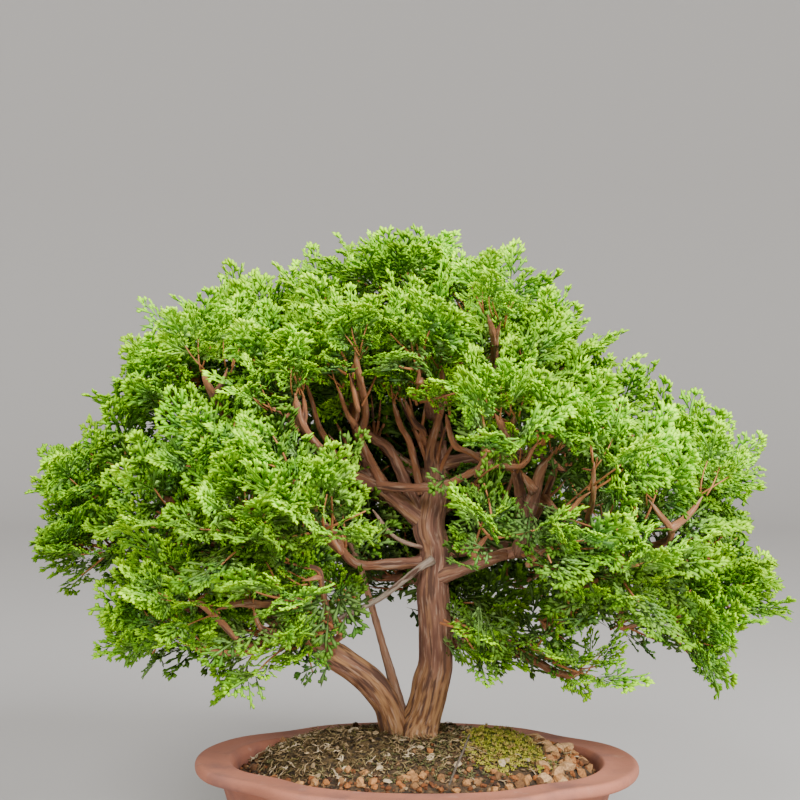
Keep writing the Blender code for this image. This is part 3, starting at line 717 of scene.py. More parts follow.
def strand(name, seed, bends, length, thick, high=1.6):
    """A curly dried strand lying on the ground: a three-sided tube along a wandering line."""
    draw = random.Random(seed)
    points = []
    place = Vector((0, 0, 0))
    heading = draw.uniform(0, TURN)
    for bend in range(bends + 1):
        taper = thick * (1 - 0.75 * bend / bends)
        across = Vector((-math.sin(heading), math.cos(heading), 0))
        points += [place + across * taper, place - across * taper, place + UP * taper * high]
        heading += draw.uniform(-1.2, 1.2)
        rise = draw.uniform(-0.15, 0.28) if bend < bends * 0.6 else draw.uniform(-0.5, 0.1)
        place = place + Vector((math.cos(heading), math.sin(heading), rise)) * (length / bends)
    return outward_mesh(name, points, band(bends + 1, 3))


def tufts(seeds, *shape):
    return [tuft("tuft", seed, *shape) for seed in seeds]


def chunk(name, seed):
    """A dead bit of moss or root: three short bent strands that start together."""
    bits = [strand(name, 3 * seed + turn, 3, 0.8, 0.15, 0.7) for turn in range(3)]
    join(bits[0], bits[1:])
    return bits[0]


def on_green(x, y):
    """The cushion is fresh on its front slope and dull at its back."""
    if in_patch(x, y, GREEN_MOSS) > 0.98:
        return 0
    return 1.0 if in_patch(x, y, FRESH_GREEN) < 1.1 else 0.3


def green_in_front(x, y):
    """The fresh moss spreads past its cushion, down towards the lip, but not over one brown patch."""
    if in_patch(x, y, GREEN_MOSS) < 0.96 or math.hypot(x - BROWN_PATCH[0], y - BROWN_PATCH[1]) < 9:
        return 0
    return 1.0 if in_patch(x, y, FRESH_GREEN) < 1.0 else 0


def on_dry(x, y):
    return 1.0 if in_patch(x, y, DRY_MOSS) < 1.0 else 0


def old_in_front(x, y):
    """The old moss also lies thinly round its cushion, from the left end to below the trunk."""
    if in_patch(x, y, DRY_MOSS) < 0.97 or share_of_rim(x, y) > 0.88 or from_trunk(x, y) < 15:
        return 0
    patchy = 0.9 + 0.8 * noise.noise(Vector((x / 9, y / 9, 2)))
    return clamp(patchy * (1.2 - in_patch(x, y, OLD_SPREAD)) * 4)


def round_the_trunk(x, y):
    """Thin green moss creeps over the mound between the two cushions."""
    if share_of_rim(x, y) > 0.86 or from_trunk(x, y) < 14 or in_patch(x, y, FRESH_GREEN) < 0.9:
        return 0
    patchy = 0.75 + noise.noise(Vector((x / 14, y / 14, 9))) - max(0.0, (x - 60) / 60)
    return clamp(patchy * (0.5 + 22 / (10 + math.hypot(x - 22, y + 14))))


def litter_ground(x, y):
    """Litter lies on the bare ground, most of it left of the green moss."""
    if share_of_rim(x, y) > 0.93 or from_trunk(x, y) < 17:
        return 0
    if in_patch(x, y, GREEN_MOSS) < 1:
        return 0.15
    if in_patch(x, y, DRY_MOSS) < 0.95:
        return 0
    return 1.0 if x < 40 else 0.5


green_mat = moss_mat("moss_cushion", GREEN_MOSS, GREEN_RISE, ((0.06, 0.07, 0.008), (0.24, 0.26, 0.02)),
                     "green_moss", "moss_green")
dry_mat = moss_mat("old_moss_mat", DRY_MOSS, DRY_RISE, ((0.025, 0.014, 0.005), (0.13, 0.078, 0.026)),
                   "dry_moss", "moss_dry")
lush = tinted_material("moss_leaves", LUSH, 0.7, 0.0001)
for name, ground, cover in (("moss_tufts", green_mat, on_green),
                            ("moss_in_front", soil_base, green_in_front)):
    scatter(name, ground, cover, tufts(range(5), 6, 0.55, 0.8), "green_moss",
            Density=500000.0, Apart=0.0017, Smallest=0.0022, Largest=0.004, Lean=0.4, Sink=-0.0002, Seed=11,
            Material=lush)
scatter("creeping_moss", soil_base, round_the_trunk, tufts(range(30, 34), 5, 0.7, 0.6), "green_moss",
        Density=70000.0, Apart=0.0021, Smallest=0.0024, Largest=0.0046, Lean=0.5, Sink=0.0, Seed=12,
        Material=tinted_material("creeping_moss", CREEPING, 0.8, 0.0001))
straw = tinted_material("old_moss_strands", STRAW, 0.9, 0.0001)
for name, ground, cover, apart in (("old_moss_strands", dry_mat, on_dry, 0.0019),
                                   ("old_moss_in_front", soil_base, old_in_front, 0.002)):
    scatter(name, ground, cover, [strand("strand", seed, 3, 1.0, 0.075) for seed in range(9)], "dry_moss",
            Density=300000.0, Apart=apart, Smallest=0.0036, Largest=0.0085, Lean=0.7, Sink=0.0006, Seed=13,
            Material=straw)
pale = tinted_material("pale_litter", PALE, 0.85, 0.0001)
for name, ground, cover in (("pale_litter", soil_base, litter_ground), ("litter_on_moss", dry_mat, on_dry)):
    chips = stones("chip", range(40, 43), 1, 0.3) + [chunk("chunk", seed) for seed in range(46, 52)]
    scatter(name, ground, cover, chips, "dry_moss",
            Density=16000.0, Apart=0.004, Smallest=0.0026, Largest=0.0074, Lean=0.45, Sink=0.0014, Seed=14,
            Material=pale)


# The wood: a bare, slightly twisted trunk with a second trunk leaning out to the left from its foot, and
# limbs that run out into the foliage. Old bark is purple-brown and peels in long soft tan strips.
# Routes as (x, y, z, radius) in millimetres, from the foot of a trunk or limb to its end.
MAIN_TRUNK = (
    (5, 0, 60, 12.5), (5, 0, 76, 15), (5, 0, 90, 17), (5.2, 0, 97, 15.6), (7.4, 0, 103, 13),
    (9.6, -0.2, 109, 12), (12.3, -0.4, 119, 12), (14.3, -1, 130, 11.7), (16.5, -2, 141, 11.2),
    (16.5, -2, 164, 10.7), (15.1, -1, 186, 10.3), (16, 0, 213, 9.6), (12.5, 0, 230, 10.4), (15, 2, 246, 9.6),
    (18, 3, 262, 7.6), (17, 4, 292, 5.6), (11, 4, 322, 4), (6, 4, 342, 2.8),
)
LEFT_TRUNK = (
    (-9, -1, 92, 10), (-11.5, -2, 103, 9.6), (-17, -3, 117, 9.4), (-30, -6, 133, 9.2), (-55, -10, 151, 8.6),
    (-92, -14, 177, 6.6), (-126, -12, 205, 5), (-146, -6, 228, 3.4), (-154, -2, 246, 2.6),
)
RIGHT_LIMB = (
    (14, -1, 196, 4.6), (25, -6, 200, 4.6), (41, -12, 206, 4.3), (61, -20, 214, 4), (78, -24, 217, 3.8),
    (96, -28, 217, 3.5), (122, -30, 222, 3), (146, -26, 234, 2.4),
)
RIGHT_LOW_LIMB = ((96, -28, 217, 3), (116, -40, 202, 2.7), (138, -42, 190, 2.3))
RIGHT_INNER_LIMB = ((70, -22, 215, 3), (78, -28, 236, 2.8), (85, -34, 252, 2.5), (92, -44, 274, 2.2))
BACK_RIGHT_LIMB = (
    (15, 1, 212, 4.2), (44, 12, 214, 3.9), (72, 26, 219, 3.5), (100, 38, 228, 3), (124, 38, 242, 2.5),
)
BACK_RIGHT_LOW_LIMB = ((72, 26, 219, 2.8), (88, 52, 206, 2.5), (102, 72, 196, 2.2))
LOW_RIGHT_TWIG = ((15, -1, 148, 2.6), (30, 8, 151, 2.4), (44, 18, 149, 2.1), (52, 26, 148, 1.9))
LEFT_BRANCH = (
    (15, 0, 207, 3.8), (-10, -6, 206, 3.5), (-32, -12, 206, 3.2), (-42, -17, 214, 3), (-47, -24, 226, 2.8),
    (-54, -44, 235, 2.5), (-60, -76, 238, 2.2),
)
PALE_BRANCH = (
    (15, -9, 209, 2.1), (7, -12, 204.5, 2.1), (-5, -14, 195.5, 2), (-21, -28, 185.5, 1.9),
    (-43, -44, 177, 1.8), (-54, -52, 172.5, 1.6),
)
THIN_STEM = (
    (-6, -1, 106, 3.6), (-10.5, 3, 126, 3.3), (-16.5, 7, 146, 2.6), (-24, 11, 172, 2.3), (-33, 15, 202, 2),
    (-44, 20, 226, 1.8),
)
UPPER_LEFT_LIMB = (
    (12, 0, 231, 5.6), (-8, -2, 247, 5.2), (-24, -4, 260, 4.7), (-43, -8, 271, 4), (-58, -12, 280, 3.6),
    (-67, -14, 294, 3.2), (-72, -15, 308, 2.7), (-72, -12, 324, 2.2),
)
UPPER_MID_LIMB = ((-24, -4, 260, 3.3), (-33, -10, 286, 2.8), (-36, -15, 304, 2.4), (-36, -24, 318, 2.1))
UPPER_BACK_LIMB = ((17, 3, 256, 4.5), (-10, 8, 275, 3.8), (-30, 14, 292, 3.2), (-44, 18, 312, 2.5))
CROSSING_BRANCH = (
    (-21, -8, 257.5, 2.6), (-6, -17, 256.6, 2.8), (9.5, -27, 257.4, 2.9), (23, -37, 260.4, 2.7),
    (32, -46, 265, 2.4), (40, -57, 270.5, 2.2), (46, -84, 276, 2.2),
)
SHORT_TWIG = ((15, 0, 214, 1.5), (-9, -16, 224, 1.3), (-24, -24, 243, 1.1))
BACK_LEFT_LIMB = (
    (12, 0, 236, 4.6), (-28, 30, 250, 4), (-62, 56, 262, 3.4), (-92, 70, 274, 2.8), (-112, 72, 290, 2.2),
)
BACK_MID_LIMB = ((17, 4, 264, 4.6), (8, 34, 280, 3.8), (0, 60, 292, 3.2), (-4, 76, 308, 2.4))
BACK_UPPER_RIGHT_LIMB = ((17, 2, 240, 4.6), (42, 32, 252, 4), (66, 56, 262, 3.2), (84, 68, 272, 2.4))
BACK_LOW_LIMB = ((14, -1, 186, 4.2), (6, 34, 190, 3.6), (-8, 62, 188, 3), (-28, 74, 186, 2.3))
FRONT_TOP_LIMB = ((15, 4, 300, 4), (12, -30, 312, 3.4), (10, -58, 320, 2.8), (8, -76, 326, 2.2))
TOP_RIGHT_LIMB = ((14, 4, 310, 3.8), (42, -4, 320, 3.2), (66, -8, 322, 2.5))
UPPER_RIGHT_LIMB = ((18, 3, 270, 4.2), (48, -14, 276, 3.6), (82, -36, 280, 3), (104, -42, 284, 2.4))
FRONT_LEFT_LIMB = ((-92, -14, 177, 4), (-98, -42, 196, 3.4), (-102, -66, 216, 2.9), (-102, -82, 232, 2.3))
LOW_LEFT_LIMB = ((-92, -14, 177, 3.4), (-114, -26, 177, 3), (-134, -32, 180, 2.6), (-148, -24, 180, 2.1))
LIMBS = (
    MAIN_TRUNK, LEFT_TRUNK, RIGHT_LIMB, RIGHT_LOW_LIMB, RIGHT_INNER_LIMB, BACK_RIGHT_LIMB,
    BACK_RIGHT_LOW_LIMB, LOW_RIGHT_TWIG, LEFT_BRANCH, PALE_BRANCH, THIN_STEM, UPPER_LEFT_LIMB, UPPER_MID_LIMB,
    UPPER_BACK_LIMB, CROSSING_BRANCH, SHORT_TWIG, BACK_LEFT_LIMB, BACK_MID_LIMB, BACK_UPPER_RIGHT_LIMB,
    BACK_LOW_LIMB, FRONT_TOP_LIMB, TOP_RIGHT_LIMB, UPPER_RIGHT_LIMB, FRONT_LEFT_LIMB, LOW_LEFT_LIMB,
)
BARE_LIMBS = (PALE_BRANCH, SHORT_TWIG, THIN_STEM)
# Routes from the tip inward: limbs in the open front, thin twigs deep behind them, and twigs that
# show among the leaves. The dead twig leans on the soil.
CAVE_LIMBS = (
    ((-33, -46, 325, 1.6), (-33, -36, 306, 1.8), (-35, -30, 298, 2.1), (-31, -22, 286, 2.3),
     (-24, -14, 271, 2.6), (-15, -5, 254, 2.9)),
    ((-45, -52, 322, 1.3), (-40, -42, 306, 1.6), (-35, -31, 297, 1.9)),
    ((-37, -16, 300, 2.4), (-24, -10, 288, 3.2), (-15, -8, 282, 3.5), (-8, -6, 270, 3.7), (-1, -2, 254, 3.9),
     (7, 0, 237, 4.2)),
    ((-11, -36, 313, 1.5), (-6, -24, 296, 2), (-1, -16, 287, 2.2), (3, -8, 272, 2.5), (7, 0, 252, 2.8)),
    ((-4, -20, 314, 1.6), (3, -14, 298, 2), (8, -8, 293, 2.2), (12, -2, 280, 2.5), (16, 2, 268, 2.8)),
    ((19, -62, 335, 1.4), (20, -50, 324, 2), (20, -36, 312, 2.3), (17, -18, 296, 2.6), (13, -6, 279, 3),
     (14, 0, 260, 3.2)),
    ((10, -50, 321, 1.4), (16, -42, 316, 1.8), (20, -36, 312, 2.2)),
    ((22, -58, 305, 1.5), (25, -46, 292, 1.9), (29, -40, 284, 2), (38, -34, 280, 2), (48, -22, 273, 2),
     (57, -14, 274, 2.2)),
    ((-65, -50, 325, 1), (-61, -42, 311, 1.4), (-58, -30, 297, 1.8), (-49, -12, 277, 2.2)),
)
DEEP_TWIGS = (
    ((-31, -4, 312, 0.6), (-28, 2, 299, 1), (-23, 4, 287, 1.4), (-14, 6, 278, 1.8), (-8, 8, 274, 2)),
    ((-25, -6, 316, 0.6), (-24, 0, 302, 0.9), (-23, 4, 287, 1.2)),
    ((-19, -6, 313, 0.6), (-20, 0, 300, 0.9), (-23, 4, 286, 1.1)),
    ((-13, -4, 307, 0.6), (-17, 0, 296, 0.9), (-22, 4, 285, 1.1)),
    ((-8, -16, 318, 0.6), (-3, -10, 305, 1), (3, -8, 293, 1.4), (9, -4, 278, 1.7), (15, 1, 260, 2)),
    ((-1, -14, 317, 0.6), (1, -10, 306, 0.9), (3, -8, 293, 1.2)),
    ((10, -20, 313, 0.6), (9, -12, 303, 1), (6, -6, 286, 1.3)),
    ((24, -24, 300, 0.7), (21, -14, 288, 1.1), (18, -4, 274, 1.5), (18, 2, 260, 1.8)),
    ((33, -20, 292, 0.7), (27, -14, 283, 1.1), (21, -4, 270, 1.5), (18, 2, 256, 1.8)),
    ((-48, -20, 300, 0.7), (-43, -12, 289, 1.1), (-36, -6, 274, 1.6), (-22, -4, 260, 2.2)),
    ((-52, -26, 291, 0.6), (-47, -18, 285, 0.9), (-39, -8.5, 280, 1.2)),
    ((66, -20, 276, 0.7), (66, -14, 264, 1.1), (62, -4, 250, 1.5), (54, 8, 232, 1.9), (46, 13, 215, 2.2)),
    ((92, -30, 272, 0.7), (90, -22, 260, 1.1), (84, -14, 246, 1.5), (76, 6, 230, 1.9), (72, 25, 219, 2.2)),
    ((99, -24, 262, 0.6), (94, -20, 255, 0.9), (84, -14, 246, 1.2)),
)
SHOWING_TWIGS = (
    ((-69, -92, 319, 1.5), (-68, -84, 307, 3), (-65, -76, 298, 2.8), (-59, -62, 288, 2.6),
     (-49, -44, 277, 2.8), (-38, -24, 266, 3), (-24, -8, 257, 3.2)),
    ((-84, -88, 311, 1), (-77, -84, 307, 1.5), (-69, -78, 302, 2)),
    ((-65, -88, 320, 1), (-64, -82, 309, 1.6), (-66, -76, 299, 2.2)),
    ((46, -92, 366, 1.2), (49, -84, 357, 2.1), (51, -72, 348, 2.4), (51, -50, 335, 2.6), (45, -10, 319, 2.9)),
    ((54, -88, 362, 0.9), (52, -81, 355, 1.5), (51, -72, 348, 2)),
    ((-33, -98, 344, 1.2), (-32, -88, 335, 1.9), (-30, -70, 324, 2.1), (-28, -36, 304, 2.4),
     (-33, -12, 288, 2.6)),
    ((50, -100, 307, 1.7), (55, -92, 299, 2.7), (60, -82, 291, 2.9), (63, -60, 282, 3), (68, -36, 262, 3.2),
     (72, -26, 240, 3.4)),
    ((88, -74, 284, 1.1), (84, -70, 278, 2), (80, -66, 271, 3.2), (77, -60, 259, 4.1), (74, -50, 244, 4.4),
     (72, -30, 226, 4.2), (70, -22, 215, 3.6)),
    ((67, -72, 272, 1), (70, -69, 267, 1.9), (76, -62, 259, 2.8)),
    ((62, -98, 308, 1), (61, -92, 301, 1.6), (59, -85, 293, 2.2)),
    ((143, -88, 255, 1.1), (150, -84, 246, 1.8), (158, -76, 236, 2.3), (158, -64, 228, 2.4),
     (148, -44, 222, 2.4), (134, -29, 228, 2.4)),
    ((178, -74, 256, 1), (172, -76, 248, 1.7), (166, -77, 242, 2), (158, -76, 236, 2.3)),
    ((108, -108, 279, 0.9), (108, -104, 272, 1.3), (109, -96, 260, 1.6), (109, -70, 244, 2),
     (104, -30, 219, 2.2)),
    ((-127, -72, 335, 1.2), (-125, -68, 326, 2), (-121, -62, 317, 2.8), (-118, -52, 308, 2.4),
     (-108, -34, 296, 2.4), (-88, -20, 288, 2.6), (-68, -14, 294, 2.6)),
    ((-112, -66, 334, 1), (-115, -66, 325, 1.6), (-121, -62, 316, 2.2)),
    ((-134, -104, 195, 1.2), (-125, -102, 194, 2), (-119, -98, 188, 2.1), (-113, -92, 181, 2.1),
     (-106, -84, 171, 2), (-98, -66, 163, 2.2), (-80, -20, 165, 2.4)),
    ((-115, -104, 191, 1.6), (-108, -98, 193, 2.4), (-100, -90, 193, 2.6), (-93, -82, 191, 2.6),
     (-84, -60, 187, 2.6), (-86, -16, 172, 3)),
    ((-125, -84, 164, 1.2), (-114, -80, 161, 2), (-104, -74, 160, 2), (-93, -64, 160, 2),
     (-76, -18, 162, 2.2)),
    ((-95, -86, 190, 1.3), (-92, -84, 179, 1.5), (-87, -78, 174, 2.4), (-78, -50, 168, 2.4),
     (-76, -16, 164, 2.4)),
    ((-73, -106, 219, 1), (-64, -104, 217, 1.5), (-55, -100, 214, 1.8), (-53, -92, 202, 1.8),
     (-51, -70, 185, 2.2), (-50, -40, 167, 2.4), (-50, -10, 146, 2.6)),
    ((-65, -104, 208, 0.9), (-59, -102, 209, 1.2), (-54, -98, 210, 1.4)),
    ((108, -52, 145, 1.6), (101, -46, 141, 2.4), (92, -36, 141, 2.6), (78, -16, 146, 2.7), (52, 14, 151, 2.7),
     (34, 9, 151, 2.7)),
)
DEAD_TWIG = ((23.3, -75, 78, 0.8), (28, -65, 87, 0.8), (33, -55, 95.5, 0.7), (37.3, -45, 103.3, 0.5))
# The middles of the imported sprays, in the order of their numbers.
SPRAYS = (
    (-164, -6, 172), (-208, 0, 220), (-196, 4, 270), (-156, -6, 314), (-110, 0, 350), (-58, 2, 372),
    (-6, 5, 386), (44, 6, 378), (90, -4, 338), (134, 0, 300), (180, 5, 268), (206, -8, 216), (178, -24, 172),
    (-42, -84, 350), (6, -90, 354), (56, -84, 342), (-92, -72, 334), (88, -98, 306), (-124, -95, 287),
    (-158, -72, 246), (-75, -132, 282), (-102, -138, 246), (-55, -150, 249), (-140, -92, 205),
    (-85, -132, 206), (-113, -50, 166), (-71, -86, 170), (120, -112, 272), (158, -84, 246), (50, -132, 300),
    (54, -124, 246), (97, -120, 238), (140, -112, 219), (120, -84, 181), (95, -46, 154), (50, 40, 155),
    (-56, 76, 354), (42, 76, 354), (-118, 128, 302), (-40, 128, 302), (40, 128, 302), (116, 128, 302),
    (-146, 144, 244), (-54, 144, 244), (42, 144, 244), (138, 144, 244), (-100, 110, 188), (-10, 110, 188),
    (104, 110, 188),
)
WEATHERED = (0.11, 0.085, 0.062)
HEART = Vector((0, 0, 205))
TO_FOOT = 31.35
TRUNK_FOOT = 96.0


def outward(spot):
    """The way a spray faces: away from the heart of the crown, lifted towards the light."""
    away = spot - HEART
    away.z *= 0.9
    return (away.normalized() + UP * 0.25).normalized()


def twig_route(spot):
    """A twig from the nearest limb to the foot of a spray."""
    axis = outward(spot)
    foot = spot - axis * TO_FOOT
    best = None
    for limb in LIMBS:
        if limb in BARE_LIMBS:
            continue
        for x, y, z, radius in limb[1:]:
            away = foot - Vector((x, y, z))
            cost = away.length + 0.9 * max(0, z - foot.z) + 12 * max(0, -away.normalized().dot(axis))
            if z > 120 and (best is None or cost < best[0]):
                best = (cost, Vector((x, y, z)), radius)
    _, knot, radius = best
    start = min(radius * 0.8, 2.6)
    away = foot - knot
    bend = foot - axis * min(14, away.length * 0.4) + UP * (-0.05 * away.length)
    return (*knot, start), (*bend, (start + 1.8) / 2), (*foot, 1.5), (*(foot + axis * 10), 1.0)


def smooth_route(route, step):
    """Samples (x, y, z, radius) every few millimetres on a smooth curve through a route's knots."""
    knots = [Vector(knot) for knot in route]
    knots = [2 * knots[0] - knots[1], *knots, 2 * knots[-1] - knots[-2]]
    samples = []
    for before, first, second, after in zip(knots, knots[1:], knots[2:], knots[3:]):
        count = max(2, round((second - first).length / step))
        for number in range(count):
            t = number / count
            bend = (second - before) * t + (2 * before - 5 * first + 4 * second - after) * t**2
            samples.append(first + 0.5 * (bend + (3 * first - 3 * second + after - before) * t**3))
    return samples + [knots[-2]]


def bark_relief(place, old):
    """How far the bark stands out at a place on it, in millimetres: long fibres with furrows between."""
    fibre = noise.noise(Vector((place.x / 1.7, place.y / 1.7, place.z / 15)))
    strip = noise.noise(Vector((place.x / 4.5, place.y / 4.5, place.z / 38 + 9)))
    furrow = max(0.0, 1 - abs(strip) / 0.09)
    return old * (0.55 * fibre + 0.6 * strip - 0.75 * furrow)


class Wood:
    """Gathers tubes into one mesh, with what the bark's material needs at each point."""

    def __init__(self):
        self.points = []
        self.faces = []
        self.values = {"bark": [], "tan": [], "young": [], "pale": []}

    def tube(self, route, sides, step, number, tan=lambda at: 0.1, pale=0.0):
        """A limb along a route. Its number draws its bark. All but the two trunks flare where they start."""
        samples = smooth_route(route, step)
        first = len(self.points)
        shift = Vector((number * 37, 0, 0))
        across = (samples[1] - samples[0]).xyz.orthogonal().normalized()
        whole = sum((after - before).xyz.length for before, after in zip(samples, samples[1:]))
        travelled = 0.0
        for ring, sample in enumerate(samples):
            ahead = samples[min(ring + 1, len(samples) - 1)] - samples[max(ring - 1, 0)]
            heading = ahead.xyz.normalized()
            across = (across - heading * across.dot(heading)).normalized()
            over = heading.cross(across)
            if ring:
                travelled += (sample - samples[ring - 1]).xyz.length
            radius = sample.w
            if number > 1:
                radius *= 1 + 0.5 * math.exp(-travelled / (3.2 * route[0][3]))
                radius *= min(1.0, 0.3 + (whole - travelled) / 11)
                radius *= 1 + 0.16 * noise.noise(Vector((travelled / 5, number * 1.9, 4)))
            radius *= 1 + 0.07 * noise.noise(Vector((travelled / 13, number * 3.7, 0)))
            old = clamp((radius - 1.2) / 5)
            buttress = math.exp(-max(0.0, sample.z - TRUNK_FOOT) / 6) if number == 0 else 0
            for side in range(sides):
                angle = TURN * side / sides
                place = Vector((math.cos(angle) * radius, math.sin(angle) * radius, travelled))
                root = 1 + 0.13 * buttress * math.cos(5 * angle + 1) + 0.1 * buttress * math.cos(3 * angle)
                stand = bark_relief(place + shift, old)
                way = across * math.cos(angle) + over * math.sin(angle)
                self.points.append((sample.xyz + way * (radius * root + stand)) * MM)
                self.values["bark"].append((place + shift) * MM)
                self.values["tan"].append(tan(sample))
                self.values["young"].append(clamp((4.2 - radius) / 2.4))
                self.values["pale"].append(pale)
        self.faces += band(len(samples), sides, first)


def bark_material():
    material, tree, shader, _ = new_material("cypress_bark", 0.86)
    along = vector_node(tree, "MULTIPLY", attribute(tree, "bark", "Vector"), (1.0, 1.0, 0.13))
    old = mottled(tree, along, (0.17, 0.072, 0.046), (0.35, 0.165, 0.1), 330, 0.5, 0.16, 4)
    strips = mottled(tree, along, (0.22, 0.09, 0.033), (0.48, 0.25, 0.108), 520, 0.48, 0.14, 4)
    twig = mottled(tree, along, (0.27, 0.1, 0.045), (0.52, 0.21, 0.085), 420, 0.5, 0.2, 3)
    grey = mottled(tree, along, (0.26, 0.18, 0.13), (0.5, 0.4, 0.31), 500, 0.5, 0.2, 3)
    peeling = mask(tree, along, 150, 0.5, 0.12, 2)
    peeled = math_node(tree, "MULTIPLY_ADD", peeling, 0.55, attribute(tree, "tan"))
    tone = blend_colours(tree, mapped(tree, peeled, 0.42, 0.95), old, strips)
    tone = blend_colours(tree, attribute(tree, "young"), tone, twig)
    tone = blend_colours(tree, attribute(tree, "pale"), tone, grey)
    tone = mottled(tree, along, tone, (0.56, 0.38, 0.27), 640, 0.6, 0.08, 5, strength=0.55)
    tone = mottled(tree, along, (0.12, 0.055, 0.035), tone, 260, 0.39, 0.05, 5)
    dress(tree, shader, along, tone, 380, 0.0012, 1100, 0.0005)
    return material


def finish_wood(name, wood, material, *nodes):
    thing = mesh_object(name, wood.points, wood.faces, material)
    for key, values in wood.values.items():
        store(thing, key, "FLOAT_VECTOR" if key == "bark" else "FLOAT", values)
    finish_piece(thing, "bark", *nodes)


def make_wood():
    wood = Wood()
    wood.tube(MAIN_TRUNK, 72, 1.6, 0, lambda at: clamp((150 - at.z) / 45, 0.12, 1.0))
    wood.tube(LEFT_TRUNK, 46, 1.8, 1, lambda at: clamp((155 - at.z) / 60, 0.4, 0.85))
    for number, limb in enumerate(LIMBS[2:], 2):
        bare = {PALE_BRANCH: 1.0, SHORT_TWIG: 0.65, THIN_STEM: 0.3}.get(limb, 0.0)
        wood.tube(limb, 13, 3.0, number, lambda at: 0.2, bare)
    for number, spot in enumerate(SPRAYS, len(LIMBS)):
        wood.tube(twig_route(Vector(spot)), 7, 5.0, number)
    for number, twig in enumerate(CAVE_LIMBS + SHOWING_TWIGS, 80):
        wood.tube(twig[::-1], 9, 2.6, number)
    for number, twig in enumerate(DEEP_TWIGS, 120):
        wood.tube(twig[::-1], 6, 3.2, number)
    finish_wood("trunk_and_limbs", wood, bark_material(), "trunk")
    stick = Wood()
    stick.tube(DEAD_TWIG, 7, 4.0, 1)
    weathered = tinted_material("weathered_twig", (WEATHERED, WEATHERED), 0.9, 0.0001)
    finish_wood("dead_twig", stick, weathered)


make_wood()


# The foliage: flat fans of tiny blunt scale leaves, each fan on a thin orange-brown twig and a few twigs on
# every spray. Fresh tips are yellow-green and older fans deep green; those inside the crown are darkened with
# painted shade.
FROND = 0.038
SPINDLE_FACES = ((0, 1, 3), (0, 3, 2), (0, 2, 1), (4, 3, 1), (4, 2, 3), (4, 1, 2))
TWIG_RINGS = 4
TWIG_SIDES = 5
CELLS = 19


def ripe(place):
    """How ripe a fan's leaves are at a place on it: from 0 at its foot to 1 at its tip."""
    return min(1.0, (place.length / (FROND * 0.98)) ** 1.25)


class Fan:
    """One flat fan of a hinoki branchlet along +Y, its upper face towards +Z: stems set with blunt lobes."""

    def __init__(self, seed, pairs, spacing, lobe):
        self.seed = seed
        self.draw = random.Random(seed).uniform
        self.spacing = spacing
        self.lobe = lobe
        self.points = []
        self.ripeness = []
        self.grow(pairs)

    def spindle(self, base, way, up, length, width, low, high):
        """A blunt four-sided lobe, widest near its end, which ripens from low to high along it."""
        side = way.cross(up).normalized()
        middle = base + way * length * 0.73
        thick = up.normalized() * width * 0.34
        self.points += [base - thick * 0.5, middle + side * width / 2, middle - side * width / 2,
                        middle + thick, base + way * length]
        self.ripeness += [low, (low + high) / 2, (low + high) / 2, (low + high) / 2, high]

    def finger(self, base, way, up, length, level):
        """A stem with lobes down both sides, close enough to make one toothed finger."""
        lobe = self.lobe
        end = base + way * length
        self.spindle(base, way, up, length + lobe * 0.5, lobe * 0.5, ripe(base) * 0.8, ripe(end))
        count = max(1, round(length / self.spacing))
        for number in range(count):
            share = (number + 0.75) / (count + 0.45)
            at = base + way * length * share
            hand = 1 if (number + level) % 2 else -1
            turn = Matrix.Rotation(hand * math.radians(self.draw(30, 46)), 3, up)
            out = (turn @ way).normalized()
            size = lobe * self.draw(0.82, 1.12) * (1 - 0.22 * share)
            if level == 1 and count > 5 and 0 < number < 3:
                self.finger(at, out, up, size * 1.1, 2)
            else:
                self.spindle(at, out, up, size, size * 0.6, ripe(at), ripe(at + out * size) * 1.08)

    def grow(self, pairs):
        """Sets fingers down both sides of the fan's stem, then the stem and the three lobes at its tip."""
        bend = self.draw(-0.12, 0.12)
        for number in range(pairs * 2):
            t = 0.16 + 0.74 * number / (pairs * 2 - 1)
            at = Vector((bend * t * t, t * 0.82, 0)) * FROND
            hand = 1 if number % 2 else -1
            angle = math.radians(50 - 22 * t + self.draw(-8, 8)) * hand
            rise = self.draw(-0.12, 0.22)
            way = Vector((math.sin(angle), math.cos(angle), rise)).normalized()
            tip = Matrix.Rotation(self.draw(-0.5, 0.5), 3, way) @ UP
            length = FROND * (0.44 * (1 - t) ** 0.7 + 0.1) * self.draw(0.7, 1.15)
            self.finger(at, way, tip, length, 1)
        way = Vector((bend, 1, 0)).normalized()
        self.spindle(Vector((0, 0, 0)), way, UP, FROND * 0.86, self.lobe * 0.4, 0.0, 0.8)
        for hand in (-1, 0, 1):
            out = Matrix.Rotation(hand * 0.6, 3, "Z") @ way
            length = self.lobe * (1.2 - 0.2 * abs(hand))
            self.spindle(way * FROND * 0.8, out, UP, length, self.lobe * 0.52, 0.8, 1.0)

    def warped(self):
        """The fan's points, which droop towards its tip, cup across it and wave a little."""
        droop = self.draw(-0.12, 0.3)
        cup = self.draw(-0.5, 0.9)
        points = []
        for point in self.points:
            along = point.y / FROND
            across = point.x / FROND
            wave = 0.07 * noise.noise(Vector((across * 3, along * 3, self.seed)))
            points.append(point + UP * (wave - droop * along**2 - cup * across**2) * FROND)
        return points


def leafy_mesh(name, points, faces, ripeness, wood, flat):
    """A part of a spray, with its ripeness, whether it is wood, and its place when laid flat."""
    thing = mesh_object(name, points, faces)
    store(thing, "ripe", "FLOAT", ripeness)
    store(thing, "wood", "FLOAT", [wood] * len(points))
    store(thing, "flat", "FLOAT_VECTOR", flat)
    return thing


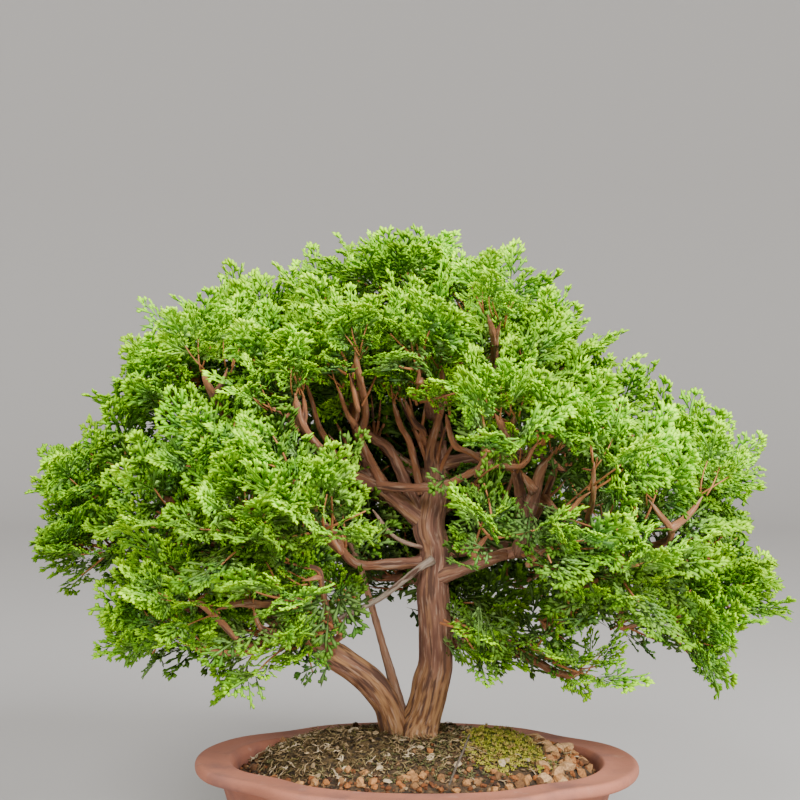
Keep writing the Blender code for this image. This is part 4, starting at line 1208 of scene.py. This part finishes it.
def make_fan(seed, *shape):
    """A fan as an object: shape is its pairs of fingers, and the spacing and length of its lobes."""
    fan = Fan(seed, *shape)
    faces = [[first + corner for corner in face]
             for first in range(0, len(fan.points), 5) for face in SPINDLE_FACES]
    flat = [(0.5 + point.x / (1.3 * FROND), 0.04 + 0.86 * point.y / FROND, 0) for point in fan.points]
    return leafy_mesh("fan", fan.warped(), faces, fan.ripeness, 0.0, flat)


def make_twig():
    """A tapered twig 1 m long along +Y, scaled down where it is placed."""
    points = []
    for ring in range(TWIG_RINGS):
        share = ring / (TWIG_RINGS - 1)
        radius = 0.03 - 0.017 * share
        for side in range(TWIG_SIDES):
            angle = TURN * side / TWIG_SIDES
            x = math.cos(angle) * radius + 0.05 * math.sin(share * 3)
            points.append((x, share, math.sin(angle) * radius))
    faces = band(TWIG_RINGS, TWIG_SIDES, inward=True)
    flat = [(0.5 + x, 0.05 + 0.9 * y, 0) for x, y, _ in points]
    return leafy_mesh("twig", points, faces, [0.0] * len(points), 1.0, flat)


def sprays_tree():
    """Node tree: each given spot becomes a spray of branchlets, and each branchlet carries several fans."""
    tree, given, result = new_tree(
        "leafy_sprays", "GeometryNodeTree", "Geometry", Geometry=("Geometry",), Collection=("Bits",),
        Object=("Twig", "Openings", "Peepholes"), Int=("Branchlets", "Fans each", "Kinds", "Cells", "Seed"),
        Float=("Set back", "Length", "Narrowest", "Widest", "Lift", "Smallest", "Largest", "Opening",
               "Peephole"), Vector=("Low corner", "High corner"), Material=("Material",))
    number = partial(math_node, tree)
    vector = partial(vector_node, tree)
    times = partial(scaled, tree)
    node = partial(geometry, tree)
    seeds = iter(range(1, 10))
    length = given["Length"]

    def square_to(value, direction):
        """The part of a vector square to a direction, 1 long."""
        part = times(direction, vector("DOT_PRODUCT", value, direction))
        return vector("NORMALIZE", vector("SUBTRACT", value, part))

    def draw(low, high):
        return drawn(tree, "FLOAT", low, high, number("ADD", given["Seed"], float(next(seeds))))

    def stray(far):
        """A random vector that reaches up to so far along each axis."""
        seed = number("ADD", given["Seed"], float(next(seeds)))
        return drawn(tree, "FLOAT_VECTOR", (-far, -far, -far), (far, far, far), seed)

    def keep(bits, name, value, kind="FLOAT_VECTOR", domain="POINT"):
        inputs = {"Geometry": bits, "Name": name, "Value": value}
        return node("StoreNamedAttribute", inputs, data_type=kind, domain=domain)

    def kept(name, kind="FLOAT_VECTOR"):
        return node("InputNamedAttribute", {"Name": name}, data_type=kind)

    def turned(primary, secondary):
        axes = {"Primary Axis": primary, "Secondary Axis": secondary}
        made = wire(tree, "FunctionNodeAxesToRotation", axes, primary_axis="Y", secondary_axis="Z")
        return made.outputs[0]

    def repeated(bits, amount):
        """So many of each point, and the place of each in its row."""
        made = wire(tree, "GeometryNodeDuplicateElements", {"Geometry": bits, "Amount": given[amount]},
                    domain="POINT")
        return made.outputs[0], made.outputs["Duplicate Index"]

    def moved(bits, place):
        return node("SetPosition", {"Geometry": bits, "Position": place})

    def held(place, low, high):
        return vector("MINIMUM", vector("MAXIMUM", place, low), high)

    def mesh_of(thing):
        return wire(tree, "GeometryNodeObjectInfo", {"Object": given[thing]}).outputs["Geometry"]

    def left_open(bits, middle):
        """Deletes what would stand in one of the crown's openings, or before a twig that shows."""
        for views, room in (("Openings", "Opening"), ("Peepholes", "Peephole")):
            looks = {"Geometry": mesh_of(views), "Source Position": middle}
            near = wire(tree, "GeometryNodeProximity", looks, target_element="POINTS").outputs["Distance"]
            inside = number("LESS_THAN", near, given[room])
            bits = node("DeleteGeometry", {"Geometry": bits, "Selection": inside}, domain="POINT")
        return bits

    # Branchlets stand round the axis of a spray, narrow ones first, and bend towards the light.
    axis = kept("axis")
    position = node("InputPosition", {})
    phased = keep(given["Geometry"], "phase", draw(0.0, TURN), "FLOAT")
    branchlets, order = repeated(phased, "Branchlets")
    first = vector("NORMALIZE", vector("CROSS_PRODUCT", axis, (0.13, 0.31, 0.94)))
    second = vector("CROSS_PRODUCT", axis, first)
    azimuth = number("ADD", number("MULTIPLY", order, 2.4), kept("phase", "FLOAT"))
    share = number("POWER", number("DIVIDE", number("ADD", order, 0.3), given["Branchlets"]), 0.6)
    spread = number("MULTIPLY", number("SUBTRACT", given["Widest"], given["Narrowest"]), share)
    tilt = number("ADD", number("ADD", spread, given["Narrowest"]), draw(-0.14, 0.14))
    around = vector("ADD", times(first, number("COSINE", azimuth)), times(second, number("SINE", azimuth)))
    aim = vector("ADD", times(axis, number("COSINE", tilt)), times(around, number("SINE", tilt)))
    below = number("MAXIMUM", number("MULTIPLY", vector("DOT_PRODUCT", aim, (0.0, 0.0, 1.0)), -0.3), 0.0)
    lift = number("ADD", below, given["Lift"])
    aim = vector("NORMALIZE", vector("ADD", aim, times((0.0, 0.0, 1.0), lift)))
    hub = vector("SUBTRACT", position, times(axis, given["Set back"]))
    hub = vector("ADD", hub, stray(0.003))
    facing = vector("ADD", times(axis, 0.55), (0.0, 0.0, 0.65))
    facing = vector("ADD", facing, stray(0.35))
    branchlets = keep(branchlets, "aim", aim)
    branchlets = keep(branchlets, "hub", hub)
    branchlets = keep(branchlets, "facing", square_to(facing, kept("aim")))
    aim = kept("aim")
    facing = kept("facing")
    on_hub = left_open(moved(branchlets, kept("hub")), vector("ADD", position, times(aim, length)))
    twigs = node("InstanceOnPoints", {
        "Points": on_hub, "Instance": mesh_of("Twig"), "Rotation": turned(aim, facing), "Scale": length})
    last = number("SUBTRACT", number("MULTIPLY", given["Cells"], given["Cells"]), 1.0)
    twigs = keep(twigs, "cell", last, "FLOAT", "INSTANCE")

    # Fans stand down both sides of a branchlet, less turned out towards its tip, and inside the tree's box.
    fans, order = repeated(branchlets, "Fans each")
    steps = number("MAXIMUM", number("SUBTRACT", given["Fans each"], 1.0), 1.0)
    along = number("DIVIDE", number("ADD", order, draw(-0.3, 0.3)), steps)
    along = number("MINIMUM", number("MAXIMUM", along, 0.0), 1.0)
    reach = number("MULTIPLY", length, number("MULTIPLY_ADD", along, 0.65, 0.35))
    yaw = number("MULTIPLY_ADD", along, math.radians(-56), math.radians(64))
    hand = number("MULTIPLY_ADD", number("MODULO", order, 2.0), 2.0, -1.0)
    side = times(vector("CROSS_PRODUCT", aim, facing), number("MULTIPLY", hand, number("SINE", yaw)))
    way = vector("ADD", times(aim, number("COSINE", yaw)), side)
    way = vector("NORMALIZE", vector("ADD", way, (0.0, 0.0, 0.2)))
    upper = vector("ADD", facing, stray(0.6))
    smaller = number("MULTIPLY_ADD", along, 0.2, 0.8)
    size = number("MULTIPLY", draw(given["Smallest"], given["Largest"]), smaller)
    fans = keep(fans, "size", size, "FLOAT")
    fans = keep(fans, "root", vector("ADD", kept("hub"), times(aim, reach)))
    fans = keep(fans, "way", way)
    fans = keep(fans, "upper", square_to(upper, kept("way")))
    root = kept("root")
    way = kept("way")
    size = kept("size", "FLOAT")
    tip = vector("ADD", root, times(way, number("MULTIPLY", size, FROND)))
    low = vector("ADD", given["Low corner"], (0.004, 0.004, 0.004))
    high = vector("SUBTRACT", given["High corner"], (0.004, 0.004, 0.004))
    fans = keep(fans, "root", vector("ADD", root, vector("SUBTRACT", held(tip, low, high), tip)))
    # How far out and how high a fan sits in its spray: outer fans are fresher growth, and higher fans are
    # rated lighter as painted light on the tops of the pads, lower ones darker as painted shade on their
    # undersides.
    out = vector("SUBTRACT", vector("ADD", root, times(way, FROND / 2)), position)
    ahead = vector("DOT_PRODUCT", out, vector("ADD", axis, (0.0, 0.0, 0.7)))
    fans = keep(fans, "outer", mapped(tree, ahead, -0.026, 0.034), "FLOAT")
    clear = left_open(moved(fans, root), vector("ADD", position, times(way, FROND / 2)))
    kinds = node("CollectionInfo", {
        "Collection": given["Bits"], "Separate Children": True, "Reset Children": True})
    leaves = node("InstanceOnPoints", {
        "Points": clear, "Instance": kinds, "Pick Instance": True,
        "Instance Index": number("FLOOR", number("MULTIPLY", draw(0.0, 0.9999), given["Kinds"])),
        "Rotation": turned(way, kept("upper")), "Scale": size})
    leaves = keep(leaves, "cell", node("InputIndex", {}), "FLOAT", "INSTANCE")
    leaves = keep(leaves, "tint", draw(0.0, 1.0), "FLOAT", "INSTANCE")

    # All become one mesh, laid out flat in square cells, one to a fan.
    both = tree.nodes.new("GeometryNodeJoinGeometry")
    tree.links.new(twigs, both.inputs[0])
    tree.links.new(leaves, both.inputs[0])
    real = node("RealizeInstances", {"Geometry": both.outputs[0]})
    cell = kept("cell", "FLOAT")
    column = number("MODULO", cell, given["Cells"])
    row = number("FLOOR", number("DIVIDE", cell, given["Cells"]))
    corner = wire(tree, "ShaderNodeCombineXYZ", {0: column, 1: row}).outputs[0]
    unwrapped = times(vector("ADD", kept("flat"), corner), number("DIVIDE", 1.0, given["Cells"]))
    real = keep(real, "OFBake", unwrapped, "FLOAT2", "CORNER")
    for name in ("axis", "phase", "aim", "hub", "facing", "root", "way", "upper", "size", "flat", "cell"):
        real = node("RemoveAttribute", {"Geometry": real, "Name": name})
    real = moved(real, held(position, given["Low corner"], given["High corner"]))
    tree.links.new(node("SetMaterial", {"Geometry": real, "Material": given["Material"]}), result)
    return tree


def foliage_material(name, base, middle, tip, twig):
    """Leaves that ripen from base to tip, with painted light on the tops of sprays, and painted shade below
    them, inside the crown and in patches.
    """
    material, tree, shader, place = new_material(name, 0.6)
    shader.inputs["Specular IOR Level"].default_value = 0.06
    outer = attribute(tree, "outer")
    ripening = [(a + b) / 2 for a, b in zip(middle, tip)]
    # Fans further out in a spray are fresher growth; those higher up are also made riper and brighter, as
    # painted light on the tops of the pads.
    grown = math_node(tree, "MULTIPLY", attribute(tree, "ripe"), mapped(tree, outer, start=0.5, end=1.1))
    tone = colour_ramp(tree, grown, ((0.0, base), (0.4, middle), (0.72, ripening), (1.0, tip)))
    shade = mapped(tree, attribute(tree, "tint"), start=0.76, end=1.22)
    # Painted shade: the lower and inner fans of each spray are darkened.
    depth = mapped(tree, outer, start=0.66, end=1.08)
    tone = scaled(tree, tone, math_node(tree, "MULTIPLY", shade, depth))
    yellow = blend_colours(tree, 1.0, tone, (1.19, 1.05, 0.8), "MULTIPLY")
    tone = mottled(tree, place, tone, yellow, 16, 0.5, 0.2, 2)
    # Painted shade in random patches: the colour is made darker and bluer there, like the shade between pads.
    painted_shade_tone = blend_colours(tree, 1.0, tone, (0.62, 0.72, 0.88), "MULTIPLY")
    tone = mottled(tree, place, painted_shade_tone, tone, 30, 0.41, 0.08, 2)
    # Painted shade: the colour darkens towards an oval round the heart of the crown, where the foliage shades
    # itself.
    out = vector_node(tree, "ADD", place, (0.0, 0.0, -0.225))
    far = vector_node(tree, "LENGTH", vector_node(tree, "MULTIPLY", out, (1 / 0.205, 1 / 0.145, 1 / 0.16)))
    tone = scaled(tree, tone, mapped(tree, far, 0.6, 0.95, 0.85, 1.0, interpolation_type="SMOOTHSTEP"))
    tone = blend_colours(tree, attribute(tree, "wood"), tone, twig)
    tree.links.new(tone, shader.inputs["Base Color"])
    return material


FRESH = foliage_material("hinoki_leaves", (0.32, 0.52, 0.2), (0.2, 0.5, 0.02), (0.5, 0.99, 0.0),
                         (0.5, 0.2, 0.08))
# The inner leaves are a darker copy of these colours, twigs included: painted shade for the fans inside the
# crown.
SHADE_PAINTED_LEAVES = foliage_material("inner_leaves", (0.2, 0.33, 0.11), (0.14, 0.32, 0.03), (0.24, 0.5, 0.02),
                          (0.34, 0.14, 0.06))
SPRAY_TREE = sprays_tree()
EYE = Vector((-6.4, -1150, 349))
SIGHT_LINES = (
    (-15, 313), (3, 295), (-6, 278), (1, 262), (-1, 246), (0, 228), (2, 208), (6, 190), (10, 172), (10, 150),
    (-14, 200), (-20, 182), (-16, 170), (-30, 154), (-14, 150), (-46, 138), (73, 262), (76, 272), (48, 202),
    (66, 199),
)
NOTCHES = (
    (-214, 172), (-238, 182), (-222, 150), (-182, 123), (-156, 120), (-143, 112), (-246, 300), (-226, 303),
    (-216, 321), (-198, 348), (-187, 368), (-184, 384), (-143, 406), (-112, 417), (-60, 432), (-43, 436),
    (38, 443), (62, 425), (88, 413), (106, 402), (121, 394), (130, 376), (141, 367), (168, 355), (189, 338),
    (214, 322), (240, 298), (248, 272), (237, 246), (240, 230), (252, 205), (240, 155), (231, 148),
    (225, 131), (182, 104), (130, 156), (79, 123), (50, 94),
)
GAPS = (
    (-2, 164), (-14, 164), (-27, 160), (0, 146), (-16, 144), (-34, 142), (-2, 128), (-22, 126), (36, 116),
    (76, 138),
)
PARTS = {
    "foliage_left_edge": range(1, 7), "foliage_right_edge": range(7, 14), "foliage_front_top": range(14, 19),
    "foliage_left": range(19, 28), "foliage_right": range(28, 37), "foliage_back_high": range(37, 43),
    "foliage_back_low": range(43, 50),
}
FILLERS = {
    "foliage_back_high": ((-35, 45, 300), (35, 45, 300), (0, 30, 325), (-75, 30, 300), (75, 25, 290),
                          (0, 90, 338), (30, 80, 350), (-15, 100, 310), (-30, 105, 285)),
    "foliage_back_low": ((-30, 60, 255), (40, 55, 250), (0, 75, 225), (-85, 50, 240), (90, 50, 235),
                         (20, 105, 290), (65, 80, 280), (88, 100, 250), (60, 110, 262), (-26, 88, 240),
                         (-112, 50, 248), (-104, 66, 214), (-128, 32, 278), (50, 48, 196)),
}
TUFTS = {
    "foliage_left_edge": ((-216, -4, 256), (-222, -6, 222), (-168, -6, 318), (-148, -4, 336), (-108, -6, 352),
                          (-4, -2, 394)),
    "foliage_right_edge": ((84, -2, 346), (190, -4, 262), (212, -10, 184), (186, -12, 162)),
    "foliage_left": ((-172, -34, 164), (-84, -104, 166), (-44, -72, 190), (-62, -76, 172)),
    "foliage_right": ((42, -58, 171), (104, -72, 152), (34, -34, 160)),
}
# How the sprays of a layer grow, and what is different at the edges of the crown and behind.
ANY_LAYER = dict(Narrowest=0.1, Lift=0.1, Peephole=0.012, Cells=CELLS)
FRESH_LAYER = dict(
    ANY_LAYER, Branchlets=7, Fans_each=5, Set_back=0.022, Length=0.031, Widest=1.4, Lift=0.2, Smallest=0.8,
    Largest=1.15, Opening=0.023, Material=FRESH)
FRESH_AT_EDGE = dict(FRESH_LAYER, Set_back=0.016, Lift=0.08)
INNER_LAYER = dict(
    ANY_LAYER, Branchlets=5, Fans_each=5, Set_back=0.048, Length=0.032, Widest=1.9, Smallest=0.9, Largest=1.2,
    Opening=0.019, Material=SHADE_PAINTED_LEAVES)
INNER_BEHIND = dict(INNER_LAYER, Fans_each=4, Largest=1.3)
TWIG_TIPS = dict(
    ANY_LAYER, Branchlets=3, Fans_each=3, Set_back=0.001, Length=0.02, Widest=0.7, Smallest=0.55,
    Largest=0.85, Opening=0.0, Peephole=0.0, Material=FRESH)


def make_openings():
    """Points along straight looks from the front: into the crown, past its outline and past bare stems."""
    points = []
    for looks, plane, depths in ((SIGHT_LINES, -100, range(-200, -8, 16)), (NOTCHES, 0, range(-120, 60, 16)),
                                 (GAPS, 0, range(30, 170, 16))):
        for x, z in looks:
            for y in depths:
                away = (y - EYE.y) / (plane - EYE.y)
                points.append(((EYE.x + (x - EYE.x) * away) * MM, y * MM, (EYE.z + (z - EYE.z) * away) * MM))
    return mesh_object("openings", points, [])


def make_peepholes():
    """Points before the wood that shows in the front of the crown, on the looks towards it."""
    points = []
    for twigs, nearest, reach in ((SHOWING_TWIGS, -58, 48), (SHOWING_TWIGS[:1], -44, 110),
                                  (CAVE_LIMBS, -12, 100), ((RIGHT_LIMB[:5],), -5, 120),
                                  ((LEFT_BRANCH[:5], MAIN_TRUNK[9:14]), 10, 130)):
        for twig in twigs:
            for sample in smooth_route(twig, 8.0):
                if sample.y < nearest:
                    way = (EYE - sample.xyz).normalized()
                    points += [(sample.xyz + way * ahead) * MM for ahead in range(2, reach, 10)]
    return mesh_object("peepholes", points, [])


def make_sprays(name, spots, axes, kinds, *nodes, **values):
    """One piece of foliage: a spray at every spot, which faces along its axis, of several kinds of fans."""
    thing = mesh_object(name, [spot * MM for spot in spots], [])
    store(thing, "axis", "FLOAT_VECTOR", axes)
    fans = [make_fan(seed, *shape) for seed, shape in enumerate(kinds)]
    low, high = solid_bounds
    run_tree(thing, SPRAY_TREE, fans, Kinds=len(fans), Low_corner=low, High_corner=high, **values)
    finish_piece(thing, "foliage", *nodes)


def make_foliage():
    views = {"Openings": make_openings(), "Peepholes": make_peepholes(), "Twig": make_twig()}
    for part, (name, numbers) in enumerate(PARTS.items()):
        spots = [Vector(SPRAYS[number - 1]) for number in numbers]
        behind = "back" in name
        fresh_spots = spots + [Vector(spot) for spot in TUFTS.get(name, ())]
        kinds = [(4, 0.0042, 0.0064) if behind else (4, 0.0036, 0.0056)] * 8
        make_sprays(name, fresh_spots, [outward(spot) for spot in fresh_spots], kinds,
                    *(f"spray_{number:02d}" for number in numbers), Seed=100 * part, **views,
                    **(FRESH_AT_EDGE if "edge" in name else FRESH_LAYER))
        inner_spots = spots + [Vector(spot) for spot in FILLERS.get(name, ())]
        kinds = [(3, 0.0052, 0.0066) if behind else (3, 0.0046, 0.0058)] * 5
        make_sprays(name + "_inner", inner_spots, [outward(spot) for spot in inner_spots], kinds,
                    Seed=100 * part + 50, **views, **(INNER_BEHIND if behind else INNER_LAYER))
    ends = [[Vector(knot[:3]) for knot in twig[:2]] for twig in CAVE_LIMBS + SHOWING_TWIGS]
    axes = [((tip - before).normalized() + UP * 0.3).normalized() for tip, before in ends]
    make_sprays("foliage_twig_tips", [tip for tip, _ in ends], axes, [(4, 0.0046, 0.0062)] * 5,
                Seed=900, **views, **TWIG_TIPS)
    for helper in views.values():
        bpy.data.objects.remove(helper, do_unlink=True)


make_foliage()


# The stage: a round pale floor that sweeps up into a low wall all round, soft light from the upper front
# right, and the camera where the tree was photographed from.
FLOOR_RADIUS = 2.3
SWEEP_RADIUS = 0.7
WALL_TOP = 1.7
STAGE_SIDES = 96
FOCAL_LENGTH = 79.7
LOOKING_DOWN = 1.84
LIGHTS = (("key", (1.1, -1.45, 1.35), 0.9, 80.0), ("fill", (-0.45, -1.55, 1.5), 0.8, 33.0))


def make_sweep():
    material, _, shader, _ = new_material("pale_sweep", 0.9)
    shader.inputs["Base Color"].default_value = (0.5, 0.485, 0.47, 1)
    line = [(FLOOR_RADIUS, 0.0)]
    line += [(FLOOR_RADIUS + SWEEP_RADIUS * math.sin(angle), SWEEP_RADIUS - SWEEP_RADIUS * math.cos(angle))
             for angle in np.linspace(0.1, math.pi / 2, 14)]
    line.append((FLOOR_RADIUS + SWEEP_RADIUS, WALL_TOP))
    points = []
    for out, height in line:
        for side in range(STAGE_SIDES):
            angle = TURN * side / STAGE_SIDES
            points.append((out * math.cos(angle), out * math.sin(angle), height))
    open_above = band(len(line), STAGE_SIDES, inward=True)[:-1]
    mesh_object("backdrop", points, open_above, material)


def make_light():
    for name, place, size, power in LIGHTS:
        light = bpy.data.lights.new(name, "AREA")
        light.shape = "DISK"
        light.size = size
        light.energy = power
        lamp = placed(name, light)
        lamp.location = place
        lamp.rotation_euler = (Vector((0, 0, 0.2)) - Vector(place)).to_track_quat("-Z", "Y").to_euler()
    world = bpy.data.worlds.new("studio")
    bpy.context.scene.world = world
    world.use_nodes = True
    world.node_tree.nodes["Background"].inputs["Color"].default_value = (1.0, 0.98, 0.95, 1)
    world.node_tree.nodes["Background"].inputs["Strength"].default_value = 0.85


def make_camera():
    camera = bpy.data.cameras.new("camera")
    camera.lens = FOCAL_LENGTH
    camera.sensor_width = 36
    eye = placed("camera", camera)
    eye.location = EYE * MM
    eye.rotation_euler = (math.radians(90 - LOOKING_DOWN), 0, 0)
    bpy.context.scene.camera = eye


make_sweep()
make_light()
make_camera()
